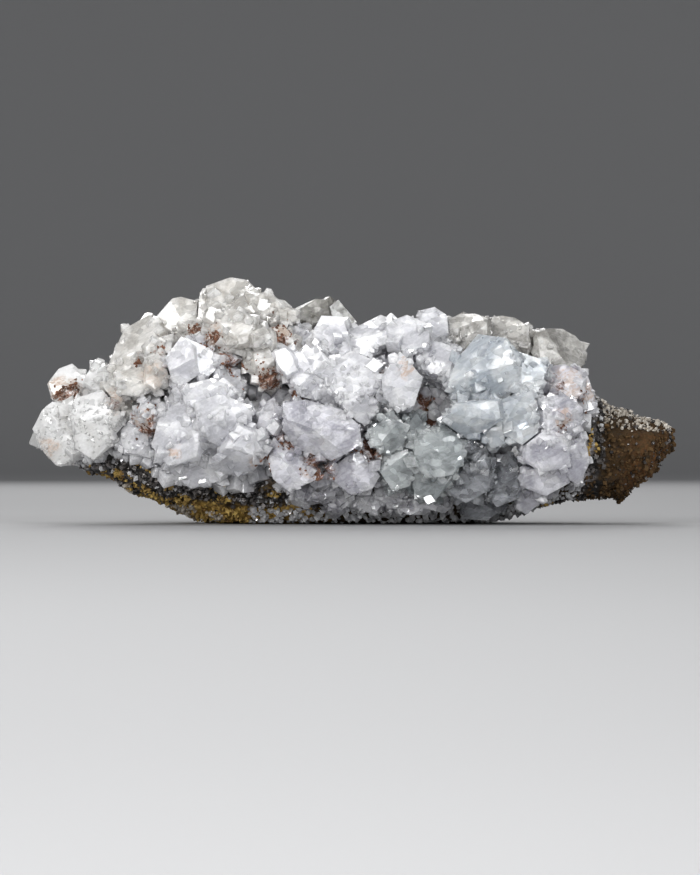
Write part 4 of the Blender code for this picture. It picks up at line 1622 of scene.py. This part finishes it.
@dataclass
class Studio:
    """The pale floor, the soft lights and the camera.

    Attributes:
        floor_radius: How far the floor stays flat.
        wall_radius: Where its edge has curved up.
        wall_height: How high the edge goes.
        wall_steps: How many steps its curve has.
        distance: How far the camera stands from the specimen's middle.
        height: How high the camera stands.
        aside: How far to the right the camera stands.
        sight: The height of what the picture shows at the specimen.
        air: The colour of the surroundings.
        air_strength: How bright they are.
    """

    floor_radius: float = 1.35
    wall_radius: float = 2.1
    wall_height: float = 1.2
    wall_steps: int = 14
    distance: float = 0.95
    height: float = 0.0161
    aside: float = -0.0003
    sight: float = 0.1638
    air: Colour = (0.86, 0.87, 0.89)
    air_strength: float = 0.34

    def floor(self, material: Material) -> None:
        """A round floor that curves up at its edge.

        Args:
            material: Its finish.
        """
        nothing_selected()
        bpy.ops.mesh.primitive_circle_add(vertices=96, radius=self.floor_radius, fill_type="NGON")
        obj = bpy.context.object
        obj.name = "pale_floor"
        for edge in opened(obj, "EDGE").edges:
            if edge.is_boundary:
                edge.select_set(True)
        bmesh.update_edit_mesh(obj.data)
        bend = self.wall_radius - self.floor_radius
        for index in range(self.wall_steps):
            low, high = (math.radians(90.0 * (index + k) / self.wall_steps) for k in (0, 1))
            radius = self.floor_radius + bend * math.sin(low)
            wider = self.floor_radius + bend * math.sin(high)
            rise = self.wall_height * (math.cos(low) - math.cos(high))
            bpy.ops.mesh.extrude_edges_move(TRANSFORM_OT_translate={"value": (0.0, 0.0, rise)})
            share = wider / radius
            bpy.ops.transform.resize(value=(share, share, 1.0), center_override=(0.0, 0.0, 0.0))
        bpy.ops.mesh.select_mode(type="VERT")
        bpy.ops.object.mode_set(mode="OBJECT")
        bpy.ops.object.shade_smooth()
        obj.data.materials.append(material)

    def light(
        self, name: str, place: tuple[float, ...], size: float, power: float, warmth: float = 0.0
    ) -> None:
        """A square soft light that faces the specimen.

        Args:
            name: Its name.
            place: Where it stands.
            size: How wide it is.
            power: Its power in watts.
            warmth: How warm it is, from -1 to 1.
        """
        lamp = bpy.data.lights.new(name, "AREA")
        lamp.size = size
        lamp.energy = power
        red, blue = 1.0 + min(0.0, warmth) * 0.2, 1.0 - max(0.0, warmth) * 0.2
        lamp.color = (red, 1.0 - abs(warmth) * 0.06, blue)
        obj = bpy.data.objects.new(name, lamp)
        obj.location = place
        aim = Vector((0.0, 0.0, 0.02)) - Vector(place)
        obj.rotation_euler = aim.to_track_quat("-Z", "Y").to_euler()
        bpy.context.scene.collection.objects.link(obj)

    def build(self, material: Material) -> None:
        """Sets up the floor, the lights, the surroundings and the camera.

        Args:
            material: The floor's finish.
        """
        self.floor(material)
        for name, place, size, power, warmth in LIGHTS:
            self.light(name, place, size, power, warmth)
        for index, place in enumerate(SPARKS):
            self.light(f"spark_light_{index}", place, SPARK_SIZE, SPARK_POWER)
        world = bpy.data.worlds.new("studio_air")
        world.use_nodes = True
        background = world.node_tree.nodes["Background"]
        background.inputs[0].default_value = (*self.air, 1.0)
        background.inputs[1].default_value = self.air_strength
        bpy.context.scene.world = world
        bpy.context.scene.view_settings.view_transform = "Standard"
        lens = bpy.data.cameras.new("camera")
        lens.lens = lens.sensor_width * self.distance / self.sight
        lens.clip_start = 0.01
        camera = bpy.data.objects.new("camera", lens)
        camera.location = (self.aside, -self.distance, self.height)
        camera.rotation_euler = (math.radians(90.0), 0.0, 0.0)
        bpy.context.scene.collection.objects.link(camera)
        bpy.context.scene.camera = camera


FINISHES = {
    Slot.MILKY: CalciteFinish(
        "milky", (0.96, 0.958, 0.985), (0.79, 0.79, 0.85), (0.97, 0.97, 1.0),
        0.55, 1.0, breaks=0.7, polish=0.06,
    ),
    Slot.CREAM: CalciteFinish(
        "cream", (0.96, 0.94, 0.905), (0.74, 0.7, 0.64), (0.98, 0.97, 0.94),
        0.5, 1.0, breaks=0.7, polish=0.06,
    ),
    Slot.LILAC: CalciteFinish(
        "lilac", (0.955, 0.95, 0.985), (0.71, 0.7, 0.8), (0.96, 0.95, 1.0),
        0.4, 0.95, breaks=0.75, polish=0.05,
    ),
    Slot.CLEAR: CalciteFinish(
        "clear", (0.955, 0.98, 1.0), (0.72, 0.79, 0.88), (0.93, 0.97, 1.0), 0.45, 0.92,
        breaks=0.85, mottle=0.1, shadows=0.4, polish=0.04, absorption=15.0,
    ),
    Slot.SMOKY: CalciteFinish(
        "smoky", (0.8, 0.82, 0.86), (0.34, 0.35, 0.38), (0.8, 0.83, 0.86), 0.15, 0.65,
        breaks=0.85, mottle=0.12, shadows=0.8, polish=0.05, absorption=50.0,
    ),
}

# Clusters that differ from the rest of their slot.
OWN_FINISHES = {
    "ridge_crystals": CalciteFinish(
        "taupe", (0.5, 0.49, 0.45), (0.2, 0.19, 0.17), (0.93, 0.9, 0.85), 0.35, 0.9, breaks=0.75,
    ),
    "top_right_crystals": CalciteFinish(
        "grey_cream", (0.8, 0.785, 0.75), (0.42, 0.4, 0.37), (0.95, 0.93, 0.89), 0.35, 0.9, breaks=0.75,
    ),
    "left_end_crystals": CalciteFinish(
        "white_crust", (0.99, 0.985, 0.975), (0.9, 0.885, 0.86), (0.99, 0.98, 0.96),
        0.7, 1.0, shadows=0.1,
    ),
    "lower_centre_crystals": CalciteFinish(
        "green_grey", (0.82, 0.86, 0.86), (0.46, 0.5, 0.52), (0.9, 0.94, 0.94), 0.3, 0.8,
        breaks=0.85, mottle=0.1, shadows=0.5, polish=0.04, absorption=20.0,
    ),
}

GRAINS = (
    GrainFinish("dark_sparkling_grains", (0.008, 0.008, 0.009), (0.22, 0.2, 0.19), 0.02, 0.4),
    GrainFinish("ochre_grains", (0.14, 0.07, 0.02), (0.62, 0.43, 0.12), 0.6),
    GrainFinish("brown_grains", (0.02, 0.012, 0.004), (0.12, 0.062, 0.017), 0.7),
    GrainFinish("pale_crust_grains", (0.25, 0.2, 0.15), (0.66, 0.62, 0.55), 0.25),
)

RUST = GrainFinish("rust_grains", (0.06, 0.026, 0.015), (0.3, 0.135, 0.075), 0.5)

# Where fine crystals cover the large ones: across, up, half width, half height in millimetres,
# how thickly, and how coarse they are.
SUGAR = (
    (-51.5, 16.0, 7.5, 7.0, 0.3, 0.5),
    (-42.0, 19.0, 5.5, 6.0, 0.5, 0.7),
    (-19.0, 27.5, 3.5, 3.5, 0.6, 0.9),
    (-4.0, 25.5, 8.0, 4.5, 0.3, 0.9),
    (28.5, 36.5, 5.5, 4.0, 0.3, 0.5),
    (15.0, 38.0, 3.0, 2.5, 0.3, 0.5),
    (15.0, 24.0, 3.0, 7.0, 0.9, 1.0),
    (38.0, 15.0, 4.5, 4.5, 0.4, 1.0),
    (-2.0, 4.0, 16.0, 3.5, 0.6, 1.0),
    (-20.0, 37.5, 10.0, 7.0, 0.2, 1.9),
    (11.0, 34.0, 7.0, 6.0, 0.2, 1.9),
    (-26.0, 13.0, 12.0, 9.0, 0.1, 1.8),
    (-42.0, 31.0, 7.0, 7.0, 0.14, 1.7),
    (32.0, 34.0, 14.0, 5.0, 0.14, 1.7),
    (38.0, 24.0, 7.0, 8.0, 0.16, 1.6),
)
DUSTED = ("left_end_crystals",)

# The soft lights: name, place, size, power in watts, and warmth from -1 to 1.
LIGHTS = (
    ("key_light", (-0.4, -0.6, 0.4), 0.32, 2.3, 0.0),
    ("low_light", (-0.35, -0.59, 0.17), 0.16, 0.8, 0.0),
    ("front_light", (0.0, -0.85, 0.1), 0.4, 1.8, 0.0),
    ("right_light", (0.51, -0.48, 0.26), 0.22, 1.3, -0.2),
    ("top_light", (0.05, -0.02, 0.6), 0.25, 0.6, 0.0),
    ("rim_light", (-0.1, 0.7, 0.45), 0.5, 2.4, 0.0),
)

# Small lights all round the front, which make the facets sparkle.
SPARK_SIZE = 0.06
SPARK_POWER = 0.27
SPARKS = (
    (-0.62, -0.52, 0.34),
    (0.2, -0.74, 0.36),
    (-0.75, -0.18, 0.22),
    (0.72, -0.28, 0.16),
    (0.26, -0.5, 0.62),
    (-0.14, -0.78, 0.3),
)

# Places where iron colours the crystals: across, up, reach in millimetres, and strength. The
# colour ends at the edge, as a share of the reach, and is full inside the core, a share of that.
STAIN_EDGE = 1.25
STAIN_CORE = 0.25
STAINS = (
    (-54.0, 24.8, 4.2, 0.75), (-56.5, 14.0, 3.0, 0.5), (-43.5, 23.0, 3.5, 0.5),
    (-38.5, 30.2, 1.8, 0.8), (-35.2, 31.4, 1.5, 0.8), (-36.2, 27.7, 3.8, 0.45),
    (-37.9, 18.2, 3.4, 0.9), (-31.8, 13.2, 1.5, 0.8), (-28.6, 36.0, 2.6, 0.6),
    (-25.0, 34.5, 2.6, 0.6), (-14.0, 35.0, 4.0, 0.8), (-22.2, 29.6, 2.2, 0.6),
    (-15.0, 27.0, 3.0, 0.85), (-9.5, 23.2, 1.9, 0.9), (-17.2, 11.5, 2.6, 0.8),
    (-12.2, 15.6, 1.8, 0.8), (-6.5, 10.4, 3.6, 0.85), (3.2, 18.6, 2.2, 0.8),
    (3.5, 14.0, 3.2, 0.8), (5.0, 28.7, 2.4, 0.5), (5.2, 27.5, 2.2, 0.7),
    (11.0, 29.0, 2.4, 0.7), (12.2, 22.9, 2.6, 0.9), (13.8, 18.2, 2.2, 0.9),
    (38.7, 19.4, 2.4, 0.9), (39.5, 26.5, 5.0, 0.5), (43.5, 24.0, 4.0, 0.6),
)


def main() -> None:
    """Builds the pieces in order and reports each."""
    logging.basicConfig(level=logging.INFO, format="%(message)s")
    ground = Ground()
    ground.gather()
    stains = []
    for x_mm, z_mm, reach_mm, strength in STAINS:
        place = ground.front(x_mm, z_mm)
        stains.append(Stain(tuple(place), reach_mm * MM * STAIN_EDGE, strength))
    large, small = {}, {}
    made: dict[str, tuple[Material, Material]] = {}
    for node in [*NODE_SLOTS, ROCK]:
        finish = OWN_FINISHES.get(node, FINISHES[NODE_SLOTS.get(node, Slot.MILKY)])
        if finish.name not in made:
            made[finish.name] = (finish.material(stains), finish.fine().material(stains))
        large[node], small[node] = made[finish.name]
    rock_material = RockFinish("limonite").material(stains)
    shop = HabitShop()
    bevelled = {habit: shop.template(habit, True) for habit in Habit}
    plain = {habit: shop.template(habit, False) for habit in Habit}
    for node in sorted(NODE_SLOTS):
        LargeCrystals(node).build(large[node])
    MatrixRock().build(rock_material)
    SmallCrystals(ground, bevelled, plain).build(small)
    MatrixGrains(ground, plain).build({finish.name: finish.material() for finish in GRAINS})
    RustFilm(ground, plain[Habit.RHOMB]).build(stains, RUST.material())
    Studio().build(StageFinish("floor").material())
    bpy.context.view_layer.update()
    nothing_selected()


if __name__ == "__main__":
    main()
